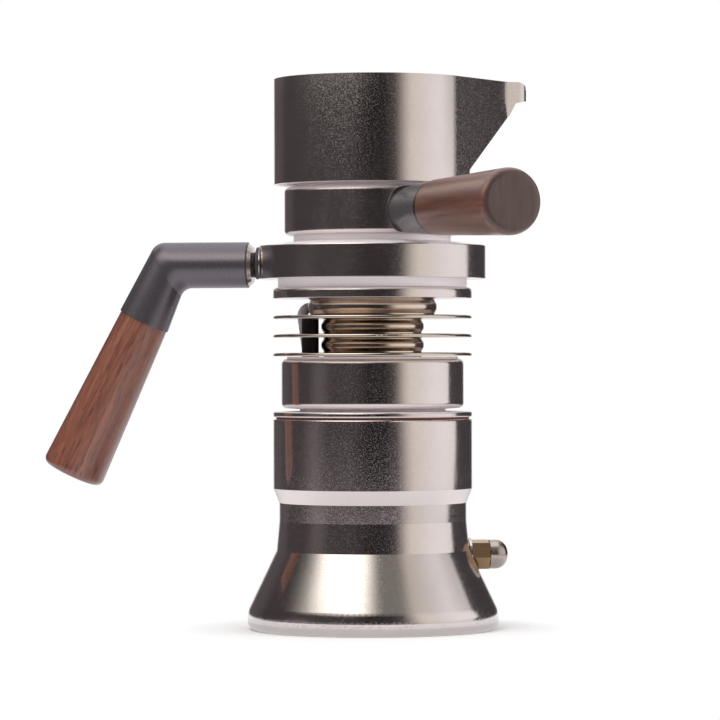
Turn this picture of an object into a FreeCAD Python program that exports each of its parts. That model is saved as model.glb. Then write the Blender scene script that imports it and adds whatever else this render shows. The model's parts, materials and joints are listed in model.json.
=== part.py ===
import FreeCAD, Part
import math
import os
import re
import Sketcher

# Stovetop espresso maker, in millimetres.
# The origin is the centre of the flat underside, +Z is up and +X is the side of the relief valve.

os.makedirs("parts", exist_ok=True)
doc = FreeCAD.newDocument("EspressoMaker")

# Driving dimensions
SIZES = {
    # lower boiler, outside
    "base_radius": 49.1,
    "base_edge_round": 3.2,
    "base_rim_height": 7.2,
    "base_belly_round": 10.0,
    "flare_top_radius": 37.8,
    "flare_top_height": 31.0,
    "waist_radius": 36.7,
    "waist_bottom": 42.5,
    "waist_top": 49.6,
    "shoulder_height": 55.2,
    "boiler_radius": 39.0,
    "boiler_height": 82.45,
    "boiler_edge_round": 0.7,
    # lower boiler, inside
    "floor_thickness": 7.0,
    "floor_radius": 36.0,
    "cavity_foot_radius": 40.0,
    "cavity_foot_height": 12.0,
    "boiler_wall": 5.0,
    "boiler_thread_radius": 33.2,
    "boiler_thread_depth": 17.0,
    "thread_clearance": 0.1,
    "fit_clearance": 0.05,
    "hole_clearance": 0.1,
    # relief valve, measured along its own level axis from the centre line
    "valve_azimuth": 9.0,
    "valve_height": 28.8,
    "valve_seat_depth": 1.2,
    "valve_spot_radius": 8.0,
    "valve_stem_radius": 4.0,
    "valve_stem_length": 5.4,
    "valve_washer_radius": 6.6,
    "valve_washer_thickness": 1.0,
    "valve_hex_width": 10.5,
    "valve_hex_thickness": 7.2,
    "valve_hex_turn": 10.0,
    "valve_barrel_radius": 4.6,
    "valve_barrel_length": 1.4,
    "valve_inlet_radius": 1.5,
    "valve_chamber_radius": 3.2,
    "valve_chamber_wall": 2.6,
    "valve_cap_radius": 5.75,
    "valve_cap_length": 7.4,
    "valve_cap_overlap": 1.1,
    "valve_cap_dome": 4.9,
    "valve_vent_radius": 0.8,
    "relief_head_radius": 3.0,
    "relief_head_thickness": 2.0,
    "relief_stem_radius": 1.2,
    "relief_travel": 1.5,
    "relief_spring_radius": 2.2,
    "relief_spring_wire": 0.35,
    "relief_spring_turns": 5.0,
    # boiler gasket
    "gasket_thickness": 0.65,
    "gasket_inset": 1.25,
    "gasket_width": 4.15,
    # upper boiler
    "flange_thickness": 2.05,
    "flange_rise": 0.3,
    "flange_foot_round": 0.7,
    "flange_round": 0.5,
    "housing_neck_radius": 28.5,
    "housing_neck_height": 1.6,
    "housing_neck_round": 0.25,
    "band_radius": 35.75,
    "band_height": 19.05,
    "band_foot_drop": 0.5,
    "band_foot_round": 2.0,
    "band_top_round": 1.95,
    "band_step_radius": 33.5,
    "band_step_rise": 0.9,
    "skirt_length": 15.0,
    "skirt_wall": 4.1,
    "thread_groove_depth": 0.9,
    "thread_pitch": 3.0,
    "thread_count": 4.0,
    "chamber_radius": 23.8,
    "roof_thickness": 6.5,
    "lid_depth": 7.1,
    "lid_thickness": 6.0,
    # pressure valve on the centre line
    "dip_tube_radius": 3.0,
    "dip_tube_bore": 2.0,
    "dip_tube_floor_gap": 5.0,
    "dip_socket_depth": 6.0,
    "stub_radius": 6.9,
    "stub_length": 10.0,
    "inlet_radius": 1.6,
    "body_flange_radius": 10.0,
    "body_flange_thickness": 2.5,
    "barrel_radius": 7.5,
    "barrel_length": 17.5,
    "barrel_bore": 5.2,
    "seat_height": 3.5,
    "plunger_radius": 4.9,
    "plunger_length": 4.4,
    "plunger_stem_radius": 1.8,
    "plunger_stem_length": 4.5,
    "pressure_spring_radius": 3.6,
    "pressure_spring_wire": 0.5,
    "pressure_spring_turns": 4.0,
    "adjuster_height": 15.0,
    "adjuster_length": 4.0,
    # heat exchanger coil
    "coil_radius": 16.0,
    "coil_tube_radius": 2.5,
    "coil_tube_bore": 1.8,
    "coil_pitch": 6.0,
    "coil_turns": 3.0,
    "coil_lift": 0.2,
    # heat sink
    "fin_radius": 39.0,
    "fin_thickness": 1.35,
    "fin_top_round": 0.85,
    "fin_foot_round": 0.35,
    "fin_root_round": 0.5,
    "fin_count": 3.0,
    "fin_first": 0.9,
    "fin_pitch": 7.3,
    "core_radius": 20.2,
    "core_top_radius": 25.3,
    "core_step": 0.9,
    "core_ridge_round": 1.5,
    "sink_height": 22.8,
    "riser_radius": 4.0,
    "riser_bore": 2.6,
    "riser_flange_radius": 7.0,
    "riser_flange_thickness": 1.2,
    "standpipe_radius": 3.35,
    "standpipe_bore": 2.2,
    "standpipe_distance": 24.4,
    "bypass_radius": 2.05,
    "bypass_bore": 1.4,
    "bypass_depth": 2.0,
    "bypass_foot_x": -25.4,
    "bypass_foot_y": 7.2,
    "bypass_bend_x": -28.0,
    "bypass_bend_y": 8.6,
    "bypass_end_x": -18.0,
    "bypass_end_y": 15.0,
    "bypass_drop": 3.5,
    "bypass_bend_radius": 3.6,
    "bypass_clearance": 0.5,
    # flange on top of the heat sink
    "sink_flange_radius": 39.0,
    "sink_flange_thickness": 4.4,
    "sink_flange_foot_round": 0.2,
    "sink_flange_top_round": 1.8,
    "sink_neck_radius": 37.0,
    "sink_neck_height": 3.2,
    # group collar
    "collar_radius": 44.4,
    "collar_height": 13.05,
    "collar_foot_round": 0.35,
    "collar_top_round": 0.5,
    "collar_floor_thickness": 4.4,
    "collar_cone_height": 1.65,
    "upstand_radius": 30.8,
    "upstand_height": 15.85,
    "upstand_wall": 1.6,
    "water_gap": 1.5,
    "plate_ledge": 1.7,
    "boss_radius": 6.25,
    "boss_face_distance": 45.7,
    # brewing parts
    "plate_thickness": 1.2,
    "plate_hole_radius": 1.0,
    "basket_wall": 1.0,
    "basket_floor_gap": 0.3,
    "basket_rim_width": 1.5,
    "basket_rim_thickness": 1.2,
    "basket_hole_radius": 0.7,
    "basket_gasket_thickness": 2.0,
    "basket_gasket_width": 1.8,
    "basket_gasket_inset": 1.4,
    "screen_thickness": 1.0,
    "screen_hole_radius": 0.7,
    "screen_ring_width": 1.2,
    "screen_ring_thickness": 0.8,
    # outlet vessel
    "spout_azimuth": 18.0,
    "vessel_gap": 3.75,
    "ring_radius": 34.5,
    "ring_height": 19.1,
    "ring_foot_rise": 0.4,
    "ring_edge_round": 2.0,
    "ring_neck_radius": 29.5,
    "ring_neck_height": 1.1,
    "web_cone_radius": 26.0,
    "web_cone_height": 1.6,
    "cup_radius": 38.5,
    "cup_wall": 2.6,
    "cup_height": 41.2,
    "cup_floor": 3.9,
    "spout_root": 55.1,
    "spout_half_width": 4.0,
    "spout_tip": 64.2,
    "spout_wall": 1.6,
    "spout_floor": 2.4,
    "spout_slope_start": 56.0,
    "spout_slope_rise": 27.9,
    "spout_slope_angle": 43.9,
    "spout_lip_root": 58.7,
    "spout_lip_root_rise": 32.8,
    "spout_lip_drop": 7.3,
    "spout_lip_depth": 3.0,
    "spout_lip_round": 4.6,
    "chimney_radius": 5.0,
    "chimney_bore": 3.0,
    "chimney_thread_radius": 6.9,
    "chimney_hex_width": 17.0,
    "chimney_hex_thickness": 3.0,
    "chimney_height": 25.0,
    "chimney_port_radius": 1.5,
    "chimney_port_drop": 4.0,
    "chimney_cap_radius": 8.0,
    "chimney_cap_thickness": 2.4,
    "chimney_cap_round": 1.6,
    "chimney_plug_length": 1.5,
    # straight handle, measured from the centre line
    "straight_azimuth": -65.0,
    "handle_rise": 9.2,
    "handle_spot_distance": 33.0,
    "handle_spot_radius": 8.95,
    "ferrule_root_radius": 8.8,
    "ferrule_end_radius": 10.45,
    "ferrule_end": 59.3,
    "joint_washer_thickness": 0.5,
    "joint_washer_inset": 0.15,
    "straight_grip_end": 120.0,
    "straight_grip_root_radius": 10.6,
    "straight_grip_end_radius": 12.5,
    "grip_end_round": 2.8,
    "rod_radius": 3.0,
    "straight_rod_start": 31.2,
    "straight_rod_length": 66.0,
    # bent handle
    "bent_azimuth": 172.0,
    "stud_drop": 0.7,
    "stud_radius": 4.9,
    "stud_flare": 0.9,
    "stud_flare_length": 0.9,
    "stud_thread_radius": 4.0,
    "stud_thread_length": 9.0,
    "elbow_radius": 9.05,
    "elbow_start": 47.4,
    "elbow_bevel": 1.9,
    "elbow_vertex": 80.55,
    "elbow_angle": 64.15,
    "elbow_outer_round": 6.0,
    "elbow_inner_round": 5.0,
    "elbow_leg": 24.3,
    "elbow_leg_end_radius": 10.35,
    "bent_grip_length": 67.2,
    "bent_grip_root_radius": 9.85,
    "bent_grip_end_radius": 12.6,
    "bent_rod_depth": 12.0,
    "bent_rod_length": 50.0,
    # screws
    "lid_screw_count": 4.0,
    "lid_screw_distance": 26.2,
    "lid_screw_radius": 1.5,
    "lid_screw_head_radius": 2.6,
    "lid_screw_head_height": 2.5,
    "lid_screw_length": 12.0,
    "sink_screw_count": 3.0,
    "sink_screw_distance": 12.5,
    "sink_screw_radius": 2.0,
    "sink_screw_head_radius": 3.4,
    "sink_screw_head_height": 3.0,
    "sink_screw_length": 11.0,
    "collar_screw_count": 4.0,
    "collar_screw_distance": 18.0,
    "collar_screw_radius": 2.0,
    "collar_screw_head_radius": 3.5,
    "collar_screw_head_height": 2.2,
    "collar_screw_length": 14.0,
}

# Heights above the underside, and radii that follow from a neighbour
LEVELS = {
    "gasket_base": "boiler_height",
    "flange_base": "gasket_base + gasket_thickness",
    "lid_seat": "flange_base - lid_depth",
    "lid_base": "lid_seat - lid_thickness",
    "skirt_base": "flange_base - skirt_length",
    "skirt_radius": "boiler_thread_radius - thread_clearance",
    "skirt_bore": "skirt_radius - skirt_wall",
    "band_base": "flange_base + flange_thickness + housing_neck_height",
    "housing_top": "band_base + band_height + band_step_rise",
    "roof_base": "housing_top - roof_thickness",
    "sink_top": "housing_top + sink_height",
    "collar_base": "sink_top + sink_flange_thickness + sink_neck_height",
    "collar_top": "collar_base + collar_height",
    "collar_middle": "collar_base + collar_height / 2",
    "stud_height": "collar_middle - stud_drop",
    "collar_floor": "collar_base + collar_floor_thickness",
    "plate_base": "collar_floor + water_gap",
    "upstand_top": "collar_top + upstand_height",
    "upstand_bore": "upstand_radius - upstand_wall",
    "basket_base": "plate_base + plate_thickness + basket_floor_gap",
    "basket_radius": "upstand_bore - 3 * hole_clearance",
    "basket_gasket_base": "upstand_top + basket_rim_thickness",
    "screen_base": "basket_gasket_base + basket_gasket_thickness",
    "web_base": "screen_base + screen_thickness",
    "ring_base": "collar_top + vessel_gap",
    "ring_bore": "upstand_radius + thread_clearance",
    "ring_top": "ring_base + ring_height",
    "handle_height": "ring_base + handle_rise",
    "cup_base": "ring_top + ring_neck_height",
    "cup_floor_top": "cup_base + cup_floor",
    "chimney_top": "cup_floor_top + chimney_height",
    "valve_flare_share": "(flare_top_height - valve_height) / (flare_top_height - base_rim_height)",
    "valve_flare_radius": "flare_top_radius + (base_radius - flare_top_radius) * valve_flare_share",
    "valve_seat_distance": "valve_flare_radius - valve_seat_depth",
    "valve_flange_distance": "valve_seat_distance + valve_washer_thickness",
    "valve_barrel_end": "valve_flange_distance + valve_hex_thickness + valve_barrel_length",
    "valve_chamber_base": "valve_seat_distance - valve_chamber_wall",
    "relief_shoulder": "valve_chamber_base + fit_clearance + relief_head_thickness",
    "plunger_base": "lid_seat + seat_height + fit_clearance",
    "adjuster_base": "lid_seat + adjuster_height",
}


def linked(text):
    """Return expression text with each size name led to the sheet that holds it."""

    def with_sheet(match):
        word = match.group(0)
        if word in SIZES:
            return "Sizes." + word
        if word in LEVELS:
            return "Levels." + word
        return word

    return re.sub(r"[a-z]\w*", with_sheet, text)


def make_sheet(name, cells):
    sheet = doc.addObject("Spreadsheet::Sheet", name)
    for row, (alias, content) in enumerate(cells.items(), start=1):
        sheet.set(f"A{row}", alias)
        sheet.set(f"B{row}", content)
        sheet.setAlias(f"B{row}", alias)
    doc.recompute()
    return sheet


sizes = make_sheet("Sizes", {alias: str(number) for alias, number in SIZES.items()})
levels = doc.addObject("Spreadsheet::Sheet", "Levels")
for level_row, (level_alias, level_rule) in enumerate(LEVELS.items(), start=1):
    levels.set(f"A{level_row}", level_alias)
    levels.setAlias(f"B{level_row}", level_alias)
    levels.set(f"B{level_row}", "=" + linked(level_rule).replace("Levels.", ""))
doc.recompute()


def value(text):
    """Return the number that a size expression gives."""
    result = sizes.evalExpression(linked(str(text)))
    return float(getattr(result, "Value", result))


def origin_part(body, role):
    return next(item for item in body.Origin.OriginFeatures if item.Role == role)


def new_body(name):
    body = doc.addObject("PartDesign::Body", name)
    body.Label = name
    return body


def new_sketch(body, name, role, lift="0", rise="0"):
    """Start a sketch on an origin plane, lifted off it, with its axes raised within it."""
    sketch = body.newObject("Sketcher::SketchObject", name)
    sketch.AttachmentSupport = (origin_part(body, role), [""])
    sketch.MapMode = "FlatFace"
    if lift != "0":
        sketch.setExpression("AttachmentOffset.Base.z", linked(lift))
    if rise != "0":
        sketch.setExpression("AttachmentOffset.Base.y", linked(rise))
    return sketch


def tie(sketch, edge, end, direction, text):
    """Tie one coordinate of a sketch point to its size."""
    if text == "0":
        axis = -2 if direction == "X" else -1
        sketch.addConstraint(Sketcher.Constraint("PointOnObject", edge, end, axis))
        return
    rule = Sketcher.Constraint("Distance" + direction, -1, 1, edge, end, value(text))
    index = sketch.addConstraint(rule)
    sketch.setExpression(f"Constraints[{index}]", linked(text))


def outline(sketch, points):
    """Close straight edges through the points and tie every corner to its sizes."""
    corners = [FreeCAD.Vector(value(x), value(y), 0) for x, y in points]
    count = len(corners)
    for index in range(count):
        edge = Part.LineSegment(corners[index], corners[(index + 1) % count])
        sketch.addGeometry(edge, False)
    for index in range(count):
        joint = Sketcher.Constraint("Coincident", index, 2, (index + 1) % count, 1)
        sketch.addConstraint(joint)
    for index, (x, y) in enumerate(points):
        tie(sketch, index, 1, "X", x)
        tie(sketch, index, 1, "Y", y)


def round_outline(sketch, radius, x="0", y="0"):
    centre = FreeCAD.Vector(value(x), value(y), 0)
    circle = Part.Circle(centre, FreeCAD.Vector(0, 0, 1), value(radius))
    edge = sketch.addGeometry(circle, False)
    tie(sketch, edge, 3, "X", x)
    tie(sketch, edge, 3, "Y", y)
    index = sketch.addConstraint(Sketcher.Constraint("Radius", edge, value(radius)))
    sketch.setExpression(f"Constraints[{index}]", linked(radius))


def turned(name, points):
    """Turn a profile of (radius, height) points about the body's own Z axis."""
    body = new_body(name)
    sketch = new_sketch(body, name + "_profile", "XZ_Plane")
    outline(sketch, points)
    turn = body.newObject("PartDesign::Revolution", name + "_turn")
    turn.Profile = sketch
    turn.ReferenceAxis = (sketch, ["V_Axis"])
    turn.Angle = 360.0
    body.Tip = turn
    doc.recompute()
    return body


def check_change(body, before, feature, sign):
    """Stop where a feature that should add or remove metal has done neither."""
    doc.recompute()
    if (body.Shape.Volume - before) * sign <= 0:
        raise ValueError(f"{feature.Name} changes nothing")


def side_turned(body, name, height, points, removes):
    """Turn (distance, radius) points about a level axis along the body's X direction."""
    before = body.Shape.Volume
    sketch = new_sketch(body, name + "_profile", "XZ_Plane", rise=height)
    outline(sketch, points)
    kind = "PartDesign::Groove" if removes else "PartDesign::Revolution"
    feature = body.newObject(kind, name)
    feature.Profile = sketch
    feature.ReferenceAxis = (sketch, ["H_Axis"])
    feature.Angle = 360.0
    body.Tip = feature
    check_change(body, before, feature, -1 if removes else 1)


def ring_groove(body, name, points, pitch, count):
    """Cut a groove about the Z axis and repeat it upwards."""
    before = body.Shape.Volume
    sketch = new_sketch(body, name + "_profile", "XZ_Plane")
    outline(sketch, points)
    groove = body.newObject("PartDesign::Groove", name)
    groove.Profile = sketch
    groove.ReferenceAxis = (sketch, ["V_Axis"])
    groove.Angle = 360.0
    body.Tip = groove
    check_change(body, before, groove, -1)
    rows = body.newObject("PartDesign::LinearPattern", name + "_rows")
    rows.Originals = [groove]
    rows.Direction = (origin_part(body, "Z_Axis"), [""])
    rows.setExpression("Length", linked(f"{pitch} * ({count} - 1)"))
    rows.setExpression("Occurrences", linked(count))
    body.Tip = rows
    doc.recompute()


def drilled(body, name, radius, top, depth, x="0", y="0", count=None):
    """Drill a round hole down from a height, and repeat it about the Z axis."""
    before = body.Shape.Volume
    sketch = new_sketch(body, name + "_profile", "XY_Plane", lift=top)
    round_outline(sketch, radius, x, y)
    pocket = body.newObject("PartDesign::Pocket", name)
    pocket.Profile = sketch
    pocket.Type = "Length"
    pocket.setExpression("Length", linked(depth))
    body.Tip = pocket
    check_change(body, before, pocket, -1)
    if count is None:
        return
    ring = body.newObject("PartDesign::PolarPattern", name + "_ring")
    ring.Originals = [pocket]
    ring.Axis = (origin_part(body, "Z_Axis"), [""])
    ring.Angle = 360.0
    ring.setExpression("Occurrences", linked(count))
    body.Tip = ring
    doc.recompute()


def perforated(body, name, hole_radius, top, depth, outer_radius, ring_count):
    """Drill one hole on the centre line and rings of holes round it."""
    drilled(body, name + "_centre", hole_radius, top, depth)
    for ring in range(1, ring_count + 1):
        distance = f"({outer_radius}) * {ring} / {ring_count + 1}"
        drilled(body, f"{name}_{ring}", hole_radius, top, depth, x=distance, count=f"6 * {ring}")


def hexagon_pad(body, name, width, base, thickness, turn="0"):
    """Add a hexagonal prism about the Z axis, turned on it by an angle."""
    before = body.Shape.Volume
    sketch = new_sketch(body, name + "_profile", "XY_Plane", lift=base)
    corner = f"({width}) / 2 / cos(30 deg)"
    turns = [f"({60 * step + 30} + {turn}) * 1 deg" for step in range(6)]
    outline(sketch, [(f"{corner} * cos({turn})", f"{corner} * sin({turn})") for turn in turns])
    pad = body.newObject("PartDesign::Pad", name)
    pad.Profile = sketch
    pad.setExpression("Length", linked(thickness))
    body.Tip = pad
    check_change(body, before, pad, 1)


def eased(body, name, kind, size, circles):
    """Fillet or chamfer the full circles at the given radii and heights."""
    base = body.Tip
    doc.recompute()
    names = []
    for radius, height in circles:
        for number, edge in enumerate(base.Shape.Edges, start=1):
            curve = edge.Curve
            if not isinstance(curve, Part.Circle):
                continue
            level = abs(curve.Center.z - value(height)) < 1e-4
            if level and abs(curve.Radius - value(radius)) < 1e-4 and abs(curve.Center.x) < 1e-4:
                names.append(f"Edge{number}")
    if len(names) < len(circles):
        raise ValueError(f"{name} finds {len(names)} of {len(circles)} edges")
    feature = body.newObject("PartDesign::" + kind, name)
    feature.Base = (base, names)
    feature.setExpression("Radius" if kind == "Fillet" else "Size", linked(size))
    body.Tip = feature
    doc.recompute()


def raise_to(thing, height, azimuth="0"):
    """Stand a piece upright on the centre line at a height, turned to an azimuth."""
    spin = FreeCAD.Rotation(FreeCAD.Vector(0, 0, 1), value(azimuth))
    thing.Placement = FreeCAD.Placement(FreeCAD.Vector(0, 0, value(height)), spin)
    if height != "0":
        thing.setExpression("Placement.Base.z", linked(height))


def lay_along(thing, azimuth, height, drop="0", distance="0"):
    """Point a piece's own Z axis outwards at an azimuth, dropped below level by an angle."""
    spin = FreeCAD.Rotation(FreeCAD.Vector(0, 0, 1), value(azimuth))
    tip = FreeCAD.Rotation(FreeCAD.Vector(0, 1, 0), 90 + value(drop))
    place = spin.multVec(FreeCAD.Vector(value(distance), 0, 0))
    place.z = value(height)
    thing.Placement = FreeCAD.Placement(place, spin.multiply(tip))
    thing.setExpression("Placement.Base.z", linked(height))


def free_shape(name, shape):
    thing = doc.addObject("Part::Feature", name)
    thing.Label = name
    thing.Shape = shape
    return thing


def helix_wire(radius, pitch, turns):
    """Join quarter-turn arcs into a rising coil about the Z axis."""

    def point(angle):
        rise = pitch * angle / (2 * math.pi)
        return FreeCAD.Vector(radius * math.cos(angle), radius * math.sin(angle), rise)

    quarter = math.pi / 2
    edges = []
    for step in range(round(turns * 4)):
        start = step * quarter
        arc = Part.Arc(point(start), point(start + quarter / 2), point(start + quarter))
        edges.append(arc.toShape())
    return Part.Wire(edges)


def round_tube(wire, radius):
    """Run a round section along a wire."""
    start = wire.Edges[0]
    normal = start.tangentAt(start.FirstParameter)
    section = Part.Wire(Part.makeCircle(radius, start.valueAt(start.FirstParameter), normal))
    return wire.makePipeShell([section], True, False)


def coil_gap(pitch, wire_radius):
    return pitch - 2 * wire_radius


def screw_group(name, count, distance, radius, length, head_radius, head_height, head_base, points):
    """Make a ring of socket-head screws whose shanks point up or down from their heads."""
    screws = []
    for number in range(round(value(count))):
        angle = 2 * math.pi * number / round(value(count))
        x = value(distance) * math.cos(angle)
        y = value(distance) * math.sin(angle)
        head = doc.addObject("Part::Cylinder", f"{name}_head_{number}")
        head.setExpression("Radius", linked(head_radius))
        head.setExpression("Height", linked(head_height))
        head.Placement.Base = FreeCAD.Vector(x, y, value(head_base))
        shank = doc.addObject("Part::Cylinder", f"{name}_shank_{number}")
        shank.setExpression("Radius", linked(radius))
        shank.setExpression("Height", linked(length))
        shank_base = f"{head_base} + {head_height}" if points == "up" else f"{head_base} - {length}"
        shank.Placement.Base = FreeCAD.Vector(x, y, value(shank_base))
        screw = doc.addObject("Part::Fuse", f"{name}_{number}")
        screw.Base = head
        screw.Tool = shank
        screws.append(screw)
    group = doc.addObject("Part::Compound", name)
    group.Label = name
    group.Links = screws
    return group


def ring_profile(inner, outer, bottom, top):
    return [(inner, bottom), (outer, bottom), (outer, top), (inner, top)]


# Lower boiler: a flared, thick-floored vessel that stands on the hob
def lower_boiler():
    thread_foot = "boiler_height - boiler_thread_depth"
    body = turned("lower_boiler", [
        ("0", "0"),
        ("base_radius", "0"),
        ("base_radius", "base_rim_height"),
        ("flare_top_radius", "flare_top_height"),
        ("waist_radius", "waist_bottom"),
        ("waist_radius", "waist_top"),
        ("boiler_radius", "shoulder_height"),
        ("boiler_radius", "boiler_height"),
        ("boiler_thread_radius", "boiler_height"),
        ("boiler_thread_radius", thread_foot),
        ("waist_radius - boiler_wall", thread_foot),
        ("waist_radius - boiler_wall", "waist_bottom"),
        ("flare_top_radius - boiler_wall", "flare_top_height"),
        ("cavity_foot_radius", "cavity_foot_height"),
        ("floor_radius", "floor_thickness"),
        ("0", "floor_thickness"),
    ])
    eased(body, "base_edge", "Fillet", "base_edge_round", [("base_radius", "0")])
    eased(body, "base_belly", "Fillet", "base_belly_round", [("base_radius", "base_rim_height")])
    eased(body, "boiler_edge", "Fillet", "boiler_edge_round", [("boiler_radius", "boiler_height")])
    hole = "valve_stem_radius + hole_clearance"
    side_turned(body, "valve_spot_face", "valve_height", [
        ("flare_top_radius - 2 * boiler_wall", "0"),
        ("base_radius", "0"),
        ("base_radius", "valve_spot_radius"),
        ("valve_seat_distance", "valve_spot_radius"),
        ("valve_seat_distance", hole),
        ("flare_top_radius - 2 * boiler_wall", hole),
    ], removes=True)
    raise_to(body, "0", "valve_azimuth")


# Relief valve: a brass body screwed into the flare, with a sprung plunger under a domed cap
def relief_valve():
    washer = turned("relief_valve_washer", ring_profile(
        "valve_stem_radius + hole_clearance", "valve_washer_radius",
        "valve_seat_distance", "valve_flange_distance"))
    stem_base = "valve_seat_distance - valve_stem_length"
    body = turned("relief_valve_body", [
        ("valve_inlet_radius", stem_base),
        ("valve_stem_radius", stem_base),
        ("valve_stem_radius", "valve_flange_distance"),
        ("valve_barrel_radius", "valve_flange_distance"),
        ("valve_barrel_radius", "valve_barrel_end"),
        ("valve_chamber_radius", "valve_barrel_end"),
        ("valve_chamber_radius", "valve_chamber_base"),
        ("valve_inlet_radius", "valve_chamber_base"),
    ])
    hexagon_pad(body, "relief_hexagon", "valve_hex_width", "valve_flange_distance",
                "valve_hex_thickness", "valve_hex_turn")
    chamber_depth = "valve_barrel_end - valve_chamber_base"
    drilled(body, "relief_chamber", "valve_chamber_radius", "valve_barrel_end", chamber_depth)
    cap_base = "valve_barrel_end - valve_cap_overlap"
    cap_top = f"{cap_base} + valve_cap_length"
    socket = "valve_barrel_radius + fit_clearance"
    cap = turned("relief_valve_cap", [
        (socket, cap_base),
        ("valve_cap_radius", cap_base),
        ("valve_cap_radius", cap_top),
        ("valve_vent_radius", cap_top),
        ("valve_vent_radius", "valve_barrel_end + fit_clearance"),
        (socket, "valve_barrel_end + fit_clearance"),
    ])
    eased(cap, "relief_cap_dome", "Fillet", "valve_cap_dome", [("valve_cap_radius", cap_top)])
    stem_end = "valve_barrel_end - relief_travel - 2 * fit_clearance"
    plunger = turned("relief_valve_plunger", [
        ("0", "valve_chamber_base + fit_clearance"),
        ("relief_head_radius", "valve_chamber_base + fit_clearance"),
        ("relief_head_radius", "relief_shoulder"),
        ("relief_stem_radius", "relief_shoulder"),
        ("relief_stem_radius", stem_end),
        ("0", stem_end),
    ])
    for piece in (washer, body, cap, plunger):
        lay_along(piece, "valve_azimuth", "valve_height")
    end_gap = value("relief_spring_wire") + value("fit_clearance")
    length = value("valve_barrel_end - relief_shoulder") - 2 * end_gap
    pitch = length / value("relief_spring_turns")
    path = helix_wire(value("relief_spring_radius"), pitch, value("relief_spring_turns"))
    path.translate(FreeCAD.Vector(0, 0, value("relief_shoulder") + end_gap))
    spring = free_shape("relief_valve_spring", round_tube(path, value("relief_spring_wire")))
    lay_along(spring, "valve_azimuth", "valve_height")
    print("relief spring gap", round(coil_gap(pitch, value("relief_spring_wire")), 3))


# Boiler gasket: the coloured ring between the boiler rim and the upper flange
def boiler_gasket():
    outer = "boiler_radius - gasket_inset"
    gasket = turned("boiler_gasket", ring_profile(f"{outer} - gasket_width", outer, "0", "gasket_thickness"))
    raise_to(gasket, "gasket_base")


# Upper boiler: threaded skirt, thin flange, neck, plain band round the exchanger chamber, low step
def upper_boiler():
    flange_top = "flange_base + flange_thickness"
    neck_foot = f"{flange_top} + flange_rise"
    neck_roof = "band_base - band_foot_drop"
    band_top = "band_base + band_height"
    body = turned("upper_boiler", [
        ("skirt_bore", "skirt_base"),
        ("skirt_radius", "skirt_base"),
        ("skirt_radius", "flange_base"),
        ("boiler_radius", "flange_base"),
        ("boiler_radius", flange_top),
        ("housing_neck_radius", neck_foot),
        ("housing_neck_radius", neck_roof),
        ("band_radius", "band_base"),
        ("band_radius", band_top),
        ("band_step_radius", band_top),
        ("band_step_radius", "housing_top"),
        ("riser_radius + hole_clearance", "housing_top"),
        ("riser_radius + hole_clearance", "roof_base"),
        ("chamber_radius", "roof_base"),
        ("chamber_radius", "lid_seat"),
        ("skirt_bore", "lid_seat"),
    ])
    eased(body, "band_foot", "Fillet", "band_foot_round", [("band_radius", "band_base")])
    eased(body, "band_top", "Fillet", "band_top_round", [("band_radius", band_top)])
    eased(body, "flange_foot", "Fillet", "flange_foot_round", [("boiler_radius", "flange_base")])
    eased(body, "flange_top", "Fillet", "flange_round", [("boiler_radius", flange_top)])
    eased(body, "housing_neck", "Fillet", "housing_neck_round",
          [("housing_neck_radius", neck_foot), ("housing_neck_radius", neck_roof)])
    root = "skirt_radius - thread_groove_depth"
    ring_groove(body, "skirt_thread", [
        ("skirt_radius + thread_clearance", "skirt_base + thread_pitch * 0.35"),
        ("skirt_radius + thread_clearance", "skirt_base + thread_pitch * 0.95"),
        (root, "skirt_base + thread_pitch * 0.65"),
    ], "thread_pitch", "thread_count")
    drilled(body, "standpipe_seat", "standpipe_radius + fit_clearance", "housing_top", "bypass_depth",
            x="-standpipe_distance")
    drilled(body, "bypass_seat", "bypass_radius + bypass_clearance", "housing_top",
            "bypass_depth + bypass_clearance", x="bypass_foot_x", y="bypass_foot_y")
    drilled(body, "sink_screw_holes", "sink_screw_radius + hole_clearance", "housing_top",
            "roof_thickness", x="sink_screw_distance", count="sink_screw_count")
    drilled(body, "sink_screw_recesses", "sink_screw_head_radius + hole_clearance",
            "roof_base + sink_screw_head_height", "sink_screw_head_height",
            x="sink_screw_distance", count="sink_screw_count")
    drilled(body, "lid_screw_holes", "lid_screw_radius + hole_clearance",
            "lid_base + lid_screw_length + 2 * hole_clearance",
            "lid_screw_length - lid_thickness + 2 * hole_clearance",
            x="lid_screw_distance", count="lid_screw_count")
    raise_to(body, "0")


# Lid that closes the exchanger chamber from below and carries the pressure valve
def boiler_lid():
    hole = "stub_radius + hole_clearance"
    lid = turned("boiler_lid", ring_profile(hole, "skirt_bore - fit_clearance", "lid_base", "lid_seat"))
    drilled(lid, "lid_holes", "lid_screw_radius + hole_clearance", "lid_seat", "lid_thickness",
            x="lid_screw_distance", count="lid_screw_count")
    raise_to(lid, "0")


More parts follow.
